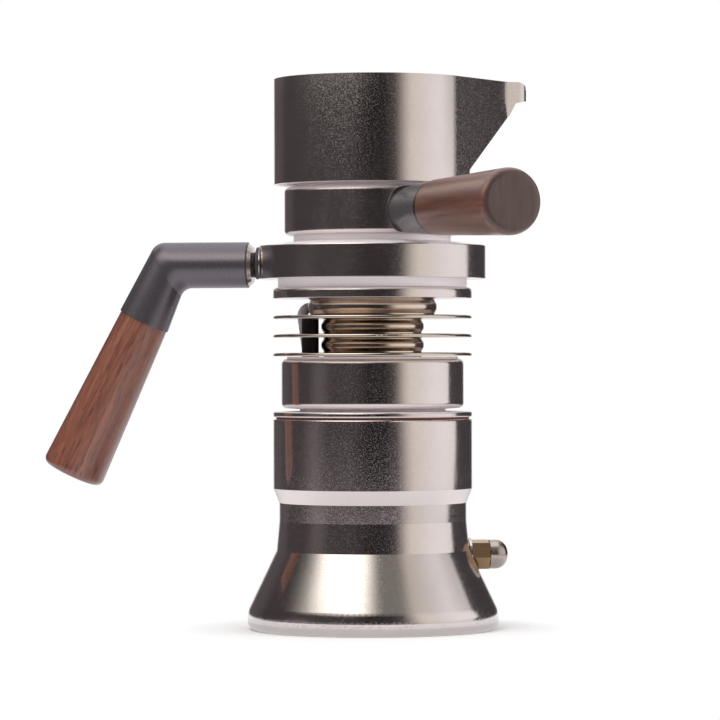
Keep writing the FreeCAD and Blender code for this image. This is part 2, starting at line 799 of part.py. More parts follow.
# Pressure valve: a brass barrel on the lid, a dip tube below, a sprung plunger inside
def pressure_valve():
    stub_base = "lid_seat - stub_length"
    socket_top = f"{stub_base} + dip_socket_depth"
    flange_top = "lid_seat + body_flange_thickness"
    barrel_top = f"{flange_top} + barrel_length"
    body = turned("valve_body", [
        ("dip_tube_radius + fit_clearance", stub_base),
        ("stub_radius", stub_base),
        ("stub_radius", "lid_seat"),
        ("body_flange_radius", "lid_seat"),
        ("body_flange_radius", flange_top),
        ("barrel_radius", flange_top),
        ("barrel_radius", barrel_top),
        ("barrel_bore", barrel_top),
        ("barrel_bore", "lid_seat + seat_height"),
        ("inlet_radius", "lid_seat + seat_height"),
        ("inlet_radius", socket_top),
        ("dip_tube_radius + fit_clearance", socket_top),
    ])
    raise_to(body, "0")
    tube = turned("dip_tube", ring_profile(
        "dip_tube_bore", "dip_tube_radius", "floor_thickness + dip_tube_floor_gap", socket_top))
    raise_to(tube, "0")
    shoulder = "plunger_base + plunger_length"
    plunger = turned("valve_plunger", [
        ("0", "plunger_base"),
        ("plunger_radius", "plunger_base"),
        ("plunger_radius", shoulder),
        ("plunger_stem_radius", shoulder),
        ("plunger_stem_radius", f"{shoulder} + plunger_stem_length"),
        ("0", f"{shoulder} + plunger_stem_length"),
    ])
    raise_to(plunger, "0")
    adjuster = turned("valve_adjuster", ring_profile(
        "inlet_radius", "barrel_bore - fit_clearance", "adjuster_base", "adjuster_base + adjuster_length"))
    raise_to(adjuster, "0")
    end_gap = value("pressure_spring_wire") + value("fit_clearance")
    length = value(f"adjuster_base - ({shoulder})") - 2 * end_gap
    pitch = length / value("pressure_spring_turns")
    path = helix_wire(value("pressure_spring_radius"), pitch, value("pressure_spring_turns"))
    spring = free_shape("valve_spring", round_tube(path, value("pressure_spring_wire")))
    spring.Placement.Base.z = value(shoulder) + end_gap
    print("pressure spring gap", round(coil_gap(pitch, value("pressure_spring_wire")), 3))


# Heat exchanger coil that stands on the lid round the pressure valve
def exchanger_coil():
    path = helix_wire(value("coil_radius"), value("coil_pitch"), value("coil_turns"))
    tube = round_tube(path, value("coil_tube_radius")).cut(round_tube(path, value("coil_tube_bore")))
    coil = free_shape("exchanger_coil", tube)
    coil.Placement.Base.z = value("lid_seat + coil_lift + coil_tube_radius")
    print("exchanger coil gap", round(coil_gap(value("coil_pitch"), value("coil_tube_radius")), 3))


# Riser tube from the exchanger chamber to the brewing chamber
def riser_tube():
    tube = turned("riser_tube", [
        ("riser_bore", "roof_base"),
        ("riser_radius", "roof_base"),
        ("riser_radius", "collar_floor"),
        ("riser_flange_radius", "collar_floor"),
        ("riser_flange_radius", "collar_floor + riser_flange_thickness"),
        ("riser_bore", "collar_floor + riser_flange_thickness"),
    ])
    raise_to(tube, "0")


def fin_points(middle, inner_below, inner_above):
    """Give the outline of one fin from below to above."""
    below = f"{middle} - fin_thickness / 2"
    above = f"{middle} + fin_thickness / 2"
    return [(inner_below, below), ("fin_radius", below), ("fin_radius", above), (inner_above, above)]


def ridge_heights(bottom, top):
    """Give the four heights at which the core's ridge between two fins starts and ends."""
    return [f"{bottom} + ({top} - ({bottom})) * {share}" for share in ("0.1", "0.36", "0.64", "0.9")]


# Heat sink: three thin fins turned from one core with a raised ridge in each gap
def heat_sink():
    bore = "riser_radius + hole_clearance"
    count = round(value("fin_count"))
    middles = [f"housing_top + fin_first + fin_pitch * {number}" for number in range(count)]
    points = [(bore, "housing_top"), ("core_radius - core_step", "housing_top")]
    ridge_edges = []
    for number, middle in enumerate(middles):
        last = number == count - 1
        radius = "core_top_radius" if last else "core_radius"
        gap_top = "sink_top" if last else f"{middles[number + 1]} - fin_thickness / 2"
        low = f"{radius} - core_step"
        below = "core_radius - core_step"
        points += fin_points(middle, below, low)
        first, second, third, fourth = ridge_heights(f"{middle} + fin_thickness / 2", gap_top)
        points += [(low, first), (radius, second), (radius, third), (low, fourth)]
        ridge_edges += [(radius, second), (radius, third)]
    points += [("core_top_radius", "sink_top"), (bore, "sink_top")]
    sink = turned("heat_sink", points)
    eased(sink, "ridge_rounds", "Fillet", "core_ridge_round", ridge_edges)
    eased(sink, "fin_tops", "Fillet", "fin_top_round",
          [("fin_radius", f"{middle} + fin_thickness / 2") for middle in middles])
    eased(sink, "fin_feet", "Fillet", "fin_foot_round",
          [("fin_radius", f"{middle} - fin_thickness / 2") for middle in middles])
    eased(sink, "fin_roots", "Fillet", "fin_root_round",
          [("core_radius - core_step", f"{middle} - fin_thickness / 2") for middle in middles[1:]])
    for number, middle in enumerate(middles):
        top = f"{middle} + fin_thickness / 2"
        if number < count - 1:
            drilled(sink, f"standpipe_hole_{number}", "standpipe_radius + hole_clearance", top,
                    "fin_thickness", x="-standpipe_distance")
        share = f"({middle} - housing_top) / (sink_height - bypass_drop)"
        drilled(sink, f"bypass_hole_{number}", "bypass_radius + bypass_clearance", top, "fin_thickness",
                x=f"bypass_foot_x + (bypass_bend_x - bypass_foot_x) * {share}",
                y=f"bypass_foot_y + (bypass_bend_y - bypass_foot_y) * {share}")
    drilled(sink, "collar_screw_sockets", "collar_screw_radius + hole_clearance", "sink_top",
            "collar_screw_length - (sink_flange_thickness + sink_neck_height)"
            " - (collar_floor_thickness - collar_screw_head_height) + hole_clearance",
            x="collar_screw_distance", count="collar_screw_count")
    socket_depth = "sink_screw_length - (roof_thickness - sink_screw_head_height) + hole_clearance"
    drilled(sink, "sink_screw_sockets", "sink_screw_radius + hole_clearance",
            f"housing_top + {socket_depth}", socket_depth,
            x="sink_screw_distance", count="sink_screw_count")
    raise_to(sink, "0")


# Standpipe that stands in the band's roof and reaches the last fin
def standpipe():
    last_fin = "housing_top + fin_first + fin_pitch * (fin_count - 1) - fin_thickness / 2"
    pipe = turned("standpipe", ring_profile(
        "standpipe_bore", "standpipe_radius", "housing_top - bypass_depth", f"{last_fin} - fit_clearance"))
    pipe.Placement.Base.x = -value("standpipe_distance")


# Thin bypass tube that climbs past the fins and bends into the core below the last gap's top
def bypass_tube():
    foot = FreeCAD.Vector(value("bypass_foot_x"), value("bypass_foot_y"), value("housing_top"))
    bend = FreeCAD.Vector(value("bypass_bend_x"), value("bypass_bend_y"),
                          value("sink_top - bypass_drop"))
    end = FreeCAD.Vector(value("bypass_end_x"), value("bypass_end_y"), bend.z)
    rise = (bend - foot).normalize()
    start = foot - rise * value("bypass_depth")
    level = (end - bend).normalize()
    half_turn = rise.getAngle(level) / 2
    setback = value("bypass_bend_radius") * math.tan(half_turn)
    arc_start = bend - rise * setback
    arc_end = bend + level * setback
    inward = (level - rise).normalize()
    reach = value("bypass_bend_radius") * (1 / math.cos(half_turn) - 1)
    arc = Part.Arc(arc_start, bend + inward * reach, arc_end)
    path = Part.Wire([
        Part.LineSegment(start, arc_start).toShape(),
        arc.toShape(),
        Part.LineSegment(arc_end, end).toShape(),
    ])
    tube = round_tube(path, value("bypass_radius")).cut(round_tube(path, value("bypass_bore")))
    core = Part.makeCylinder(value("core_top_radius + fit_clearance"), value("sink_height"),
                             FreeCAD.Vector(0, 0, value("housing_top")))
    free_shape("bypass_tube", tube.cut(core))


# Flange that closes the heat sink, with a short neck that carries the collar
def sink_flange():
    flange_top = "sink_top + sink_flange_thickness"
    flange = turned("sink_flange", [
        ("riser_radius + hole_clearance", "sink_top"),
        ("sink_flange_radius", "sink_top"),
        ("sink_flange_radius", flange_top),
        ("sink_neck_radius", flange_top),
        ("sink_neck_radius", "collar_base"),
        ("riser_radius + hole_clearance", "collar_base"),
    ])
    eased(flange, "flange_foot", "Fillet", "sink_flange_foot_round", [("sink_flange_radius", "sink_top")])
    eased(flange, "flange_top", "Fillet", "sink_flange_top_round", [("sink_flange_radius", flange_top)])
    drilled(flange, "sink_flange_holes", "collar_screw_radius + hole_clearance", "collar_base",
            "sink_flange_thickness + sink_neck_height",
            x="collar_screw_distance", count="collar_screw_count")
    raise_to(flange, "0")


# Group collar: the thick ring that carries the bent handle and the threaded upstand
def group_collar():
    cone_top = "collar_top + collar_cone_height"
    body = turned("group_collar", [
        ("riser_radius + hole_clearance", "collar_base"),
        ("collar_radius", "collar_base"),
        ("collar_radius", "collar_top"),
        ("upstand_radius", cone_top),
        ("upstand_radius", "upstand_top"),
        ("upstand_bore", "upstand_top"),
        ("upstand_bore", "plate_base"),
        ("upstand_bore - plate_ledge", "plate_base"),
        ("upstand_bore - plate_ledge", "collar_floor"),
        ("riser_radius + hole_clearance", "collar_floor"),
    ])
    eased(body, "collar_foot", "Fillet", "collar_foot_round", [("collar_radius", "collar_base")])
    eased(body, "collar_top", "Fillet", "collar_top_round", [("collar_radius", "collar_top")])
    side_turned(body, "handle_boss", "collar_middle", [
        ("collar_radius - boss_radius", "0"),
        ("boss_face_distance", "0"),
        ("boss_face_distance", "boss_radius"),
        ("collar_radius - boss_radius", "boss_radius"),
    ], removes=False)
    socket_base = "boss_face_distance - stud_thread_length - hole_clearance"
    side_turned(body, "stud_socket", "stud_height", [
        (socket_base, "0"),
        ("boss_face_distance + hole_clearance", "0"),
        ("boss_face_distance + hole_clearance", "stud_thread_radius + fit_clearance"),
        (socket_base, "stud_thread_radius + fit_clearance"),
    ], removes=True)
    screw_x = "collar_screw_distance * cos(bent_azimuth * 1 deg)"
    screw_y = "-collar_screw_distance * sin(bent_azimuth * 1 deg)"
    drilled(body, "collar_screw_holes", "collar_screw_radius + hole_clearance", "collar_floor",
            "collar_floor_thickness", x=screw_x, y=screw_y, count="collar_screw_count")
    drilled(body, "collar_screw_recesses", "collar_screw_head_radius + hole_clearance", "collar_floor",
            "collar_screw_head_height", x=screw_x, y=screw_y, count="collar_screw_count")
    root = "upstand_radius - thread_groove_depth / 2"
    ring_groove(body, "upstand_thread", [
        ("upstand_radius + thread_clearance", "upstand_top - thread_pitch * 0.95 * thread_count"),
        ("upstand_radius + thread_clearance",
         "upstand_top - thread_pitch * 0.95 * thread_count + thread_pitch * 0.5"),
        (root, "upstand_top - thread_pitch * 0.95 * thread_count + thread_pitch * 0.25"),
    ], "thread_pitch", "thread_count")
    raise_to(body, "0", "bent_azimuth")


# Brewing parts between the collar and the outlet vessel
def brewing_parts():
    plate = turned("dispersion_plate", [
        ("0", "plate_base"),
        ("upstand_bore - hole_clearance", "plate_base"),
        ("upstand_bore - hole_clearance", "plate_base + plate_thickness"),
        ("0", "plate_base + plate_thickness"),
    ])
    perforated(plate, "plate_hole", "plate_hole_radius", "plate_base + plate_thickness",
               "plate_thickness", "upstand_bore - plate_ledge", 3)
    raise_to(plate, "0")
    inside = "basket_radius - basket_wall"
    floor_top = "basket_base + basket_wall"
    basket = turned("coffee_basket", [
        ("0", "basket_base"),
        ("basket_radius", "basket_base"),
        ("basket_radius", "upstand_top"),
        ("basket_radius + basket_rim_width", "upstand_top"),
        ("basket_radius + basket_rim_width", "basket_gasket_base"),
        (inside, "basket_gasket_base"),
        (inside, floor_top),
        ("0", floor_top),
    ])
    eased(basket, "basket_foot", "Fillet", "basket_wall", [("basket_radius", "basket_base")])
    perforated(basket, "basket_hole", "basket_hole_radius", floor_top, "basket_wall", inside, 5)
    raise_to(basket, "0")
    outer = "upstand_radius - basket_gasket_inset"
    gasket = turned("basket_gasket", ring_profile(
        f"{outer} - basket_gasket_width", outer, "basket_gasket_base", "screen_base"))
    raise_to(gasket, "0")
    screen = turned("filter_screen", [
        ("0", "screen_base"),
        ("ring_bore - 4 * hole_clearance", "screen_base"),
        ("ring_bore - 4 * hole_clearance", "web_base"),
        ("0", "web_base"),
    ])
    perforated(screen, "screen_hole", "screen_hole_radius", "web_base", "screen_thickness",
               f"{outer} - basket_gasket_width", 5)
    raise_to(screen, "0")
    clip_outer = "ring_bore - fit_clearance"
    clip = turned("screen_ring", ring_profile(
        f"{clip_outer} - screen_ring_width", clip_outer,
        "screen_base - screen_ring_thickness", "screen_base"))
    raise_to(clip, "0")


# Outlet vessel base ring, with a female thread, a web over the screen and the handle's spot face
def vessel_ring():
    chimney_hole = "chimney_thread_radius + fit_clearance"
    ring_foot = "ring_base + ring_foot_rise"
    body = turned("vessel_ring", [
        ("ring_bore", "ring_base"),
        ("ring_radius", ring_foot),
        ("ring_radius", "ring_top"),
        ("ring_neck_radius", "ring_top"),
        ("ring_neck_radius", "cup_base"),
        (chimney_hole, "cup_base"),
        (chimney_hole, "web_base + web_cone_height"),
        ("web_cone_radius", "web_base"),
        ("ring_bore", "web_base"),
    ])
    eased(body, "ring_edges", "Fillet", "ring_edge_round",
          [("ring_radius", ring_foot), ("ring_radius", "ring_top")])
    clear = "ring_radius + 2"
    side_turned(body, "handle_spot_face", "handle_height", [
        ("handle_spot_distance", "0"),
        (clear, "0"),
        (clear, f"handle_spot_radius + {clear} - handle_spot_distance"),
        ("handle_spot_distance", "handle_spot_radius"),
    ], removes=True)
    side_turned(body, "handle_hole", "handle_height", [
        ("ring_bore - 1", "0"),
        ("handle_spot_distance + 1", "0"),
        ("handle_spot_distance + 1", "rod_radius + hole_clearance"),
        ("ring_bore - 1", "rod_radius + hole_clearance"),
    ], removes=True)
    raise_to(body, "0", "straight_azimuth")


def part_sketch(name, rotation):
    sketch = doc.addObject("Sketcher::SketchObject", name)
    sketch.Placement = FreeCAD.Placement(FreeCAD.Vector(0, 0, 0), rotation)
    return sketch


def spout_plan(name, radius, root, half_width, tip):
    """Draw the spout from above: walls tangent to the cup, then a narrow round-nosed lip."""
    sketch = part_sketch(name, FreeCAD.Rotation())
    r = value(radius)
    reach = math.hypot(value(root), value(half_width))
    lean = math.acos(r / reach) + math.atan2(value(half_width), value(root))
    touch = FreeCAD.Vector(r * math.cos(lean), r * math.sin(lean), 0)
    corner = FreeCAD.Vector(value(root), value(half_width), 0)
    nose_x = value(f"{tip} - {half_width}")
    nose = FreeCAD.Vector(nose_x, value(half_width), 0)

    def mirrored(point):
        return FreeCAD.Vector(point.x, -point.y, 0)

    middle = FreeCAD.Vector(value(tip), 0, 0)
    sketch.addGeometry([
        Part.LineSegment(mirrored(touch), mirrored(corner)),
        Part.LineSegment(mirrored(corner), mirrored(nose)),
        Part.ArcOfCircle(mirrored(nose), middle, nose),
        Part.LineSegment(nose, corner),
        Part.LineSegment(corner, touch),
        Part.LineSegment(touch, mirrored(touch)),
    ], False)
    round_outline(sketch, radius)
    sketch.toggleConstruction(6)
    rules = [
        Sketcher.Constraint("Coincident", 0, 2, 1, 1),
        Sketcher.Constraint("Tangent", 1, 2, 2, 1),
        Sketcher.Constraint("Tangent", 2, 2, 3, 1),
        Sketcher.Constraint("Coincident", 3, 2, 4, 1),
        Sketcher.Constraint("Coincident", 4, 2, 5, 1),
        Sketcher.Constraint("Coincident", 5, 2, 0, 1),
        Sketcher.Constraint("Horizontal", 1),
        Sketcher.Constraint("Horizontal", 3),
        Sketcher.Constraint("Tangent", 0, 1, 6),
        Sketcher.Constraint("Tangent", 4, 2, 6),
    ]
    sketch.addConstraint(rules)
    tie(sketch, 1, 1, "X", root)
    tie(sketch, 1, 1, "Y", f"-({half_width})")
    tie(sketch, 3, 2, "X", root)
    tie(sketch, 3, 2, "Y", half_width)
    tie(sketch, 3, 1, "X", f"{tip} - ({half_width})")
    return sketch


def spout_side(name, points, arc_edge=None):
    """Draw the spout from the side, in (distance, height) points, with one edge as a quarter arc."""
    sketch = part_sketch(name, FreeCAD.Rotation(FreeCAD.Vector(1, 0, 0), 90))
    corners = [FreeCAD.Vector(value(x), value(y), 0) for x, y in points]
    count = len(corners)
    for index in range(count):
        start = corners[index]
        end = corners[(index + 1) % count]
        if index == arc_edge:
            centre = FreeCAD.Vector(start.x, end.y, 0)
            circle = Part.Circle(centre, FreeCAD.Vector(0, 0, 1), start.y - end.y)
            sketch.addGeometry(Part.ArcOfCircle(circle, 0, math.pi / 2), False)
        else:
            sketch.addGeometry(Part.LineSegment(start, end), False)
    for index in range(count):
        follower = (index + 1) % count
        leaves = 1 if index == arc_edge else 2
        enters = 2 if follower == arc_edge else 1
        sketch.addConstraint(Sketcher.Constraint("Coincident", index, leaves, follower, enters))
    for index, (x, y) in enumerate(points):
        end = 2 if index == arc_edge else 1
        tie(sketch, index, end, "X", x)
        tie(sketch, index, end, "Y", y)
    if arc_edge is not None:
        tie(sketch, arc_edge, 3, "X", points[arc_edge][0])
    return sketch


def extruded(name, sketch, length, symmetric):
    solid = doc.addObject("Part::Extrusion", name)
    solid.Base = sketch
    solid.DirMode = "Normal"
    solid.setExpression("LengthFwd", linked(length))
    solid.Symmetric = symmetric
    solid.Solid = True
    return solid


def boolean(kind, name, base, tool):
    result = doc.addObject("Part::" + kind, name)
    result.Base = base
    result.Tool = tool
    return result


def cylinder(name, radius, height, base="0"):
    solid = doc.addObject("Part::Cylinder", name)
    solid.setExpression("Radius", linked(radius))
    solid.setExpression("Height", linked(height))
    if base != "0":
        solid.setExpression("Placement.Base.z", linked(base))
    return solid


# Outlet vessel cup, with a wedge spout that slopes in from below and ends in a drooping lip
def vessel_cup():
    slope = "tan(spout_slope_angle * 1 deg)"
    foot = f"spout_slope_start - spout_slope_rise / {slope}"
    lip_under = "cup_height - spout_lip_drop"
    wedge_side = spout_side("spout_side", [
        ("cup_radius / 4", "0"),
        ("cup_radius / 4", "cup_height"),
        ("spout_tip - spout_lip_round", "cup_height"),
        ("spout_tip", "cup_height - spout_lip_round"),
        ("spout_tip", lip_under),
        ("spout_lip_root", "spout_lip_root_rise"),
        ("spout_slope_start", "spout_slope_rise"),
        (foot, "0"),
    ], arc_edge=2)
    wedge_plan = spout_plan("spout_plan", "cup_radius", "spout_root", "spout_half_width", "spout_tip")
    wedge = boolean("Common", "spout_solid",
                    extruded("spout_plan_solid", wedge_plan, "cup_height", False),
                    extruded("spout_side_solid", wedge_side, "3 * cup_radius", True))
    outside = boolean("Fuse", "cup_outside", cylinder("cup_shell", "cup_radius", "cup_height"), wedge)
    above = "2 * spout_lip_drop"
    channel_floor = "spout_floor / cos(spout_slope_angle * 1 deg)"
    inner_foot = f"{foot} + cup_floor / {slope} - {channel_floor} / {slope}"
    inner_side = spout_side("channel_side", [
        ("cup_radius / 4", "cup_floor"),
        ("cup_radius / 4", f"cup_height + {above}"),
        (f"spout_tip + {above}", f"cup_height + {above}"),
        (f"spout_tip + {above}", "cup_height - spout_lip_depth"),
        ("spout_tip - spout_wall", "cup_height - spout_lip_depth"),
        ("spout_slope_start - spout_floor", f"spout_slope_rise + spout_floor / {slope}"),
        (inner_foot, "cup_floor"),
    ])
    inner_plan = spout_plan("channel_plan", "cup_radius - cup_wall", "spout_root - spout_wall",
                            "spout_half_width - spout_wall", f"spout_tip + {above}")
    channel = boolean("Common", "channel_solid",
                      extruded("channel_plan_solid", inner_plan, f"cup_height + {above}", False),
                      extruded("channel_side_solid", inner_side, "3 * cup_radius", True))
    bore = cylinder("cup_bore", "cup_radius - cup_wall", "cup_height", "cup_floor")
    hollow = boolean("Fuse", "cup_hollow", bore, channel)
    shell = boolean("Cut", "cup_body", outside, hollow)
    hole = cylinder("cup_hole", "chimney_thread_radius + fit_clearance", "cup_floor")
    cup = boolean("Cut", "vessel_cup", shell, hole)
    cup.Label = "vessel_cup"
    raise_to(cup, "cup_base", "spout_azimuth")


# Outlet chimney that clamps the cup to its ring, and its cap
def outlet_chimney():
    shoulder = "cup_floor_top + chimney_hex_thickness"
    thread_base = "web_base + web_cone_height"
    body = turned("outlet_chimney", [
        ("chimney_bore", thread_base),
        ("chimney_thread_radius", thread_base),
        ("chimney_thread_radius", "cup_floor_top"),
        ("chimney_radius", shoulder),
        ("chimney_radius", "chimney_top"),
        ("chimney_bore", "chimney_top"),
    ])
    hexagon_pad(body, "chimney_hexagon", "chimney_hex_width", "cup_floor_top", "chimney_hex_thickness")
    drilled(body, "chimney_bore_hole", "chimney_bore", shoulder, "chimney_hex_thickness")
    side_turned(body, "chimney_port", "chimney_top - chimney_port_drop", [
        ("-2 * chimney_radius", "0"),
        ("2 * chimney_radius", "0"),
        ("2 * chimney_radius", "chimney_port_radius"),
        ("-2 * chimney_radius", "chimney_port_radius"),
    ], removes=True)
    raise_to(body, "0", "spout_azimuth")
    cap_top = "chimney_top + chimney_cap_thickness"
    plug = "chimney_bore - fit_clearance"
    cap = turned("chimney_cap", [
        ("0", "chimney_top - chimney_plug_length"),
        (plug, "chimney_top - chimney_plug_length"),
        (plug, "chimney_top"),
        ("chimney_cap_radius", "chimney_top"),
        ("chimney_cap_radius", cap_top),
        ("0", cap_top),
    ])
    eased(cap, "chimney_cap_dome", "Fillet", "chimney_cap_round", [("chimney_cap_radius", cap_top)])
    raise_to(cap, "0")


def grip(name, start, end, root_radius, end_radius, hole_depth):
    """Turn a tapered wood grip with a blind rod hole in its root."""
    hole = "rod_radius + hole_clearance"
    body = turned(name, [
        ("0", f"{start} + {hole_depth}"),
        (hole, f"{start} + {hole_depth}"),
        (hole, start),
        (root_radius, start),
        (end_radius, end),
        ("0", end),
    ])
    eased(body, name + "_end", "Fillet", "grip_end_round", [(end_radius, end)])
    return body


# Straight handle of the outlet vessel
def straight_handle():
    hole = "rod_radius + hole_clearance"
    joint_end = "ferrule_end + joint_washer_thickness"
    ferrule = turned("ferrule", [
        (hole, "handle_spot_distance"),
        ("ferrule_root_radius", "handle_spot_distance"),
        ("ferrule_end_radius", "ferrule_end"),
        (hole, "ferrule_end"),
    ])
    washer = turned("ferrule_washer", ring_profile(
        hole, "ferrule_end_radius - joint_washer_inset", "ferrule_end", joint_end))
    rod_end = "straight_rod_start + straight_rod_length"
    handle = grip("straight_grip", joint_end, "straight_grip_end", "straight_grip_root_radius",
                  "straight_grip_end_radius", f"{rod_end} - ({joint_end}) + hole_clearance")
    rod = turned("straight_grip_rod", [
        ("0", "straight_rod_start"),
        ("rod_radius", "straight_rod_start"),
        ("rod_radius", rod_end),
        ("0", rod_end),
    ])
    for piece in (ferrule, washer, handle, rod):
        lay_along(piece, "straight_azimuth", "handle_height")


def elbow_solid():
    """Build the mitred bend from level tube, rounded corner and sloping leg, in the XZ plane."""
    radius = value("elbow_radius")
    half = math.radians(value("elbow_angle")) / 2
    vertex = FreeCAD.Vector(value("elbow_vertex"), 0, 0)
    level = FreeCAD.Vector(1, 0, 0)
    leg = FreeCAD.Vector(math.cos(2 * half), 0, -math.sin(2 * half))
    inward = (leg - level).normalize()
    corner = radius / math.cos(half)
    inner_centre = vertex + inward * (corner + value("elbow_inner_round") / math.cos(half))
    outer_centre = vertex - inward * (corner - value("elbow_outer_round") / math.cos(half))

    def oval(angle):
        """Give the section of the bend at one angle, as an oval across the two corner arcs."""
        ray = FreeCAD.Rotation(FreeCAD.Vector(0, 1, 0), math.degrees(angle)).multVec(inward * -1)
        inner = inner_centre + ray * value("elbow_inner_round")
        outer = outer_centre + ray * value("elbow_outer_round")
        middle = (inner + outer) * 0.5
        side = middle + FreeCAD.Vector(0, radius, 0)
        return Part.Wire(Part.Ellipse(outer, side, middle).toShape())

    def circle(centre, direction, size):
        """Give a round section square to a direction, started on the bend's outer side."""
        ring = Part.Circle(centre, direction * -1, size)
        ring.XAxis = direction.cross(FreeCAD.Vector(0, 1, 0))
        return Part.Wire(ring.toShape())

    steps = 6
    ovals = [oval(half * (2 * step / steps - 1)) for step in range(steps + 1)]
    bend = Part.makeLoft(ovals, True, False)
    start = FreeCAD.Vector(value("elbow_start"), 0, 0)
    end = vertex + leg * value("elbow_leg")
    level_run = Part.makeLoft([circle(start, level, radius), ovals[0]], True, True)
    leg_run = Part.makeLoft([ovals[-1], circle(end, leg, value("elbow_leg_end_radius"))], True, True)
    return level_run.fuse([bend, leg_run]).removeSplitter()


# Bent handle of the collar
def bent_handle():
    thread_end = "elbow_start + stud_thread_length"
    stud = turned("handle_stud", [
        ("0", "boss_face_distance - stud_thread_length"),
        ("stud_thread_radius", "boss_face_distance - stud_thread_length"),
        ("stud_thread_radius", "boss_face_distance"),
        ("stud_radius + stud_flare", "boss_face_distance"),
        ("stud_radius", "boss_face_distance + stud_flare_length"),
        ("stud_radius", "elbow_start"),
        ("stud_thread_radius", "elbow_start"),
        ("stud_thread_radius", thread_end),
        ("0", thread_end),
    ])
    lay_along(stud, "bent_azimuth", "stud_height")
    rod_start = "elbow_leg - bent_rod_depth"
    rod_end = f"{rod_start} + bent_rod_length"
    rod = turned("bent_grip_rod", [
        ("0", rod_start),
        ("rod_radius", rod_start),
        ("rod_radius", rod_end),
        ("0", rod_end),
    ])
    wood = grip("bent_grip", "elbow_leg", "elbow_leg + bent_grip_length", "bent_grip_root_radius",
                "bent_grip_end_radius", "bent_rod_length - bent_rod_depth + hole_clearance")
    for piece in (rod, wood):
        lay_along(piece, "bent_azimuth", "stud_height", "elbow_angle", "elbow_vertex")
    solid = elbow_solid()
    bevel = value("elbow_bevel")
    start = value("elbow_start")
    mouth = Part.makeCylinder(value("elbow_radius") + bevel, bevel, FreeCAD.Vector(start, 0, 0),
                              FreeCAD.Vector(1, 0, 0))
    cone = Part.makeCone(value("elbow_radius") - bevel, value("elbow_radius"), bevel,
                         FreeCAD.Vector(start, 0, 0), FreeCAD.Vector(1, 0, 0))
    solid = solid.cut(mouth.cut(cone))
    socket = Part.makeCylinder(value("stud_thread_radius + fit_clearance"),
                               value("stud_thread_length + hole_clearance"),
                               FreeCAD.Vector(start, 0, 0), FreeCAD.Vector(1, 0, 0))
    drop = math.radians(value("elbow_angle"))
    leg = FreeCAD.Vector(math.cos(drop), 0, -math.sin(drop))
    end = FreeCAD.Vector(value("elbow_vertex"), 0, 0) + leg * value("elbow_leg")
    rod_hole = Part.makeCylinder(value("rod_radius + hole_clearance"),
                                 value("bent_rod_depth + hole_clearance"), end, leg * -1)
    elbow = free_shape("handle_elbow", solid.cut([socket, rod_hole]))
    raise_to(elbow, "stud_height", "bent_azimuth")


def screws():
    screw_group("lid_screws", "lid_screw_count", "lid_screw_distance", "lid_screw_radius",
                "lid_screw_length", "lid_screw_head_radius", "lid_screw_head_height",
                "lid_base - lid_screw_head_height", "up")
    screw_group("sink_screws", "sink_screw_count", "sink_screw_distance", "sink_screw_radius",
                "sink_screw_length", "sink_screw_head_radius", "sink_screw_head_height",
                "roof_base", "up")
    collar = screw_group("collar_screws", "collar_screw_count", "collar_screw_distance",
                         "collar_screw_radius", "collar_screw_length", "collar_screw_head_radius",
                         "collar_screw_head_height", "collar_floor - collar_screw_head_height", "down")
    return collar


lower_boiler()
relief_valve()
boiler_gasket()
upper_boiler()
boiler_lid()
pressure_valve()
exchanger_coil()
riser_tube()
heat_sink()
standpipe()
bypass_tube()
sink_flange()
group_collar()
brewing_parts()
vessel_ring()
vessel_cup()
outlet_chimney()
straight_handle()
bent_handle()
screws()
doc.recompute()

NODES = [
    "lower_boiler", "relief_valve_washer", "relief_valve_body", "relief_valve_cap",
    "relief_valve_plunger", "relief_valve_spring", "boiler_gasket", "upper_boiler", "boiler_lid",
    "lid_screws", "valve_body", "dip_tube", "valve_plunger", "valve_adjuster", "valve_spring",
    "exchanger_coil", "riser_tube", "heat_sink", "sink_screws", "standpipe", "bypass_tube",
    "sink_flange", "group_collar", "collar_screws", "dispersion_plate", "coffee_basket",
    "basket_gasket", "filter_screen", "screen_ring", "vessel_ring", "vessel_cup", "outlet_chimney",
    "chimney_cap", "ferrule", "ferrule_washer", "straight_grip", "straight_grip_rod",
    "handle_stud", "handle_elbow", "bent_grip", "bent_grip_rod",
]

for thing in doc.Objects:
    if "Invalid" in thing.State or "Error" in thing.State:
        raise ValueError(f"{thing.Name} failed: {thing.State}")

for node in NODES:
    shape = doc.getObject(node).Shape
    if shape.isNull() or not shape.isValid():
        raise ValueError(f"{node} has no valid shape")
    shape.exportStep(f"parts/{node}.step")
print(len(NODES), "nodes written")
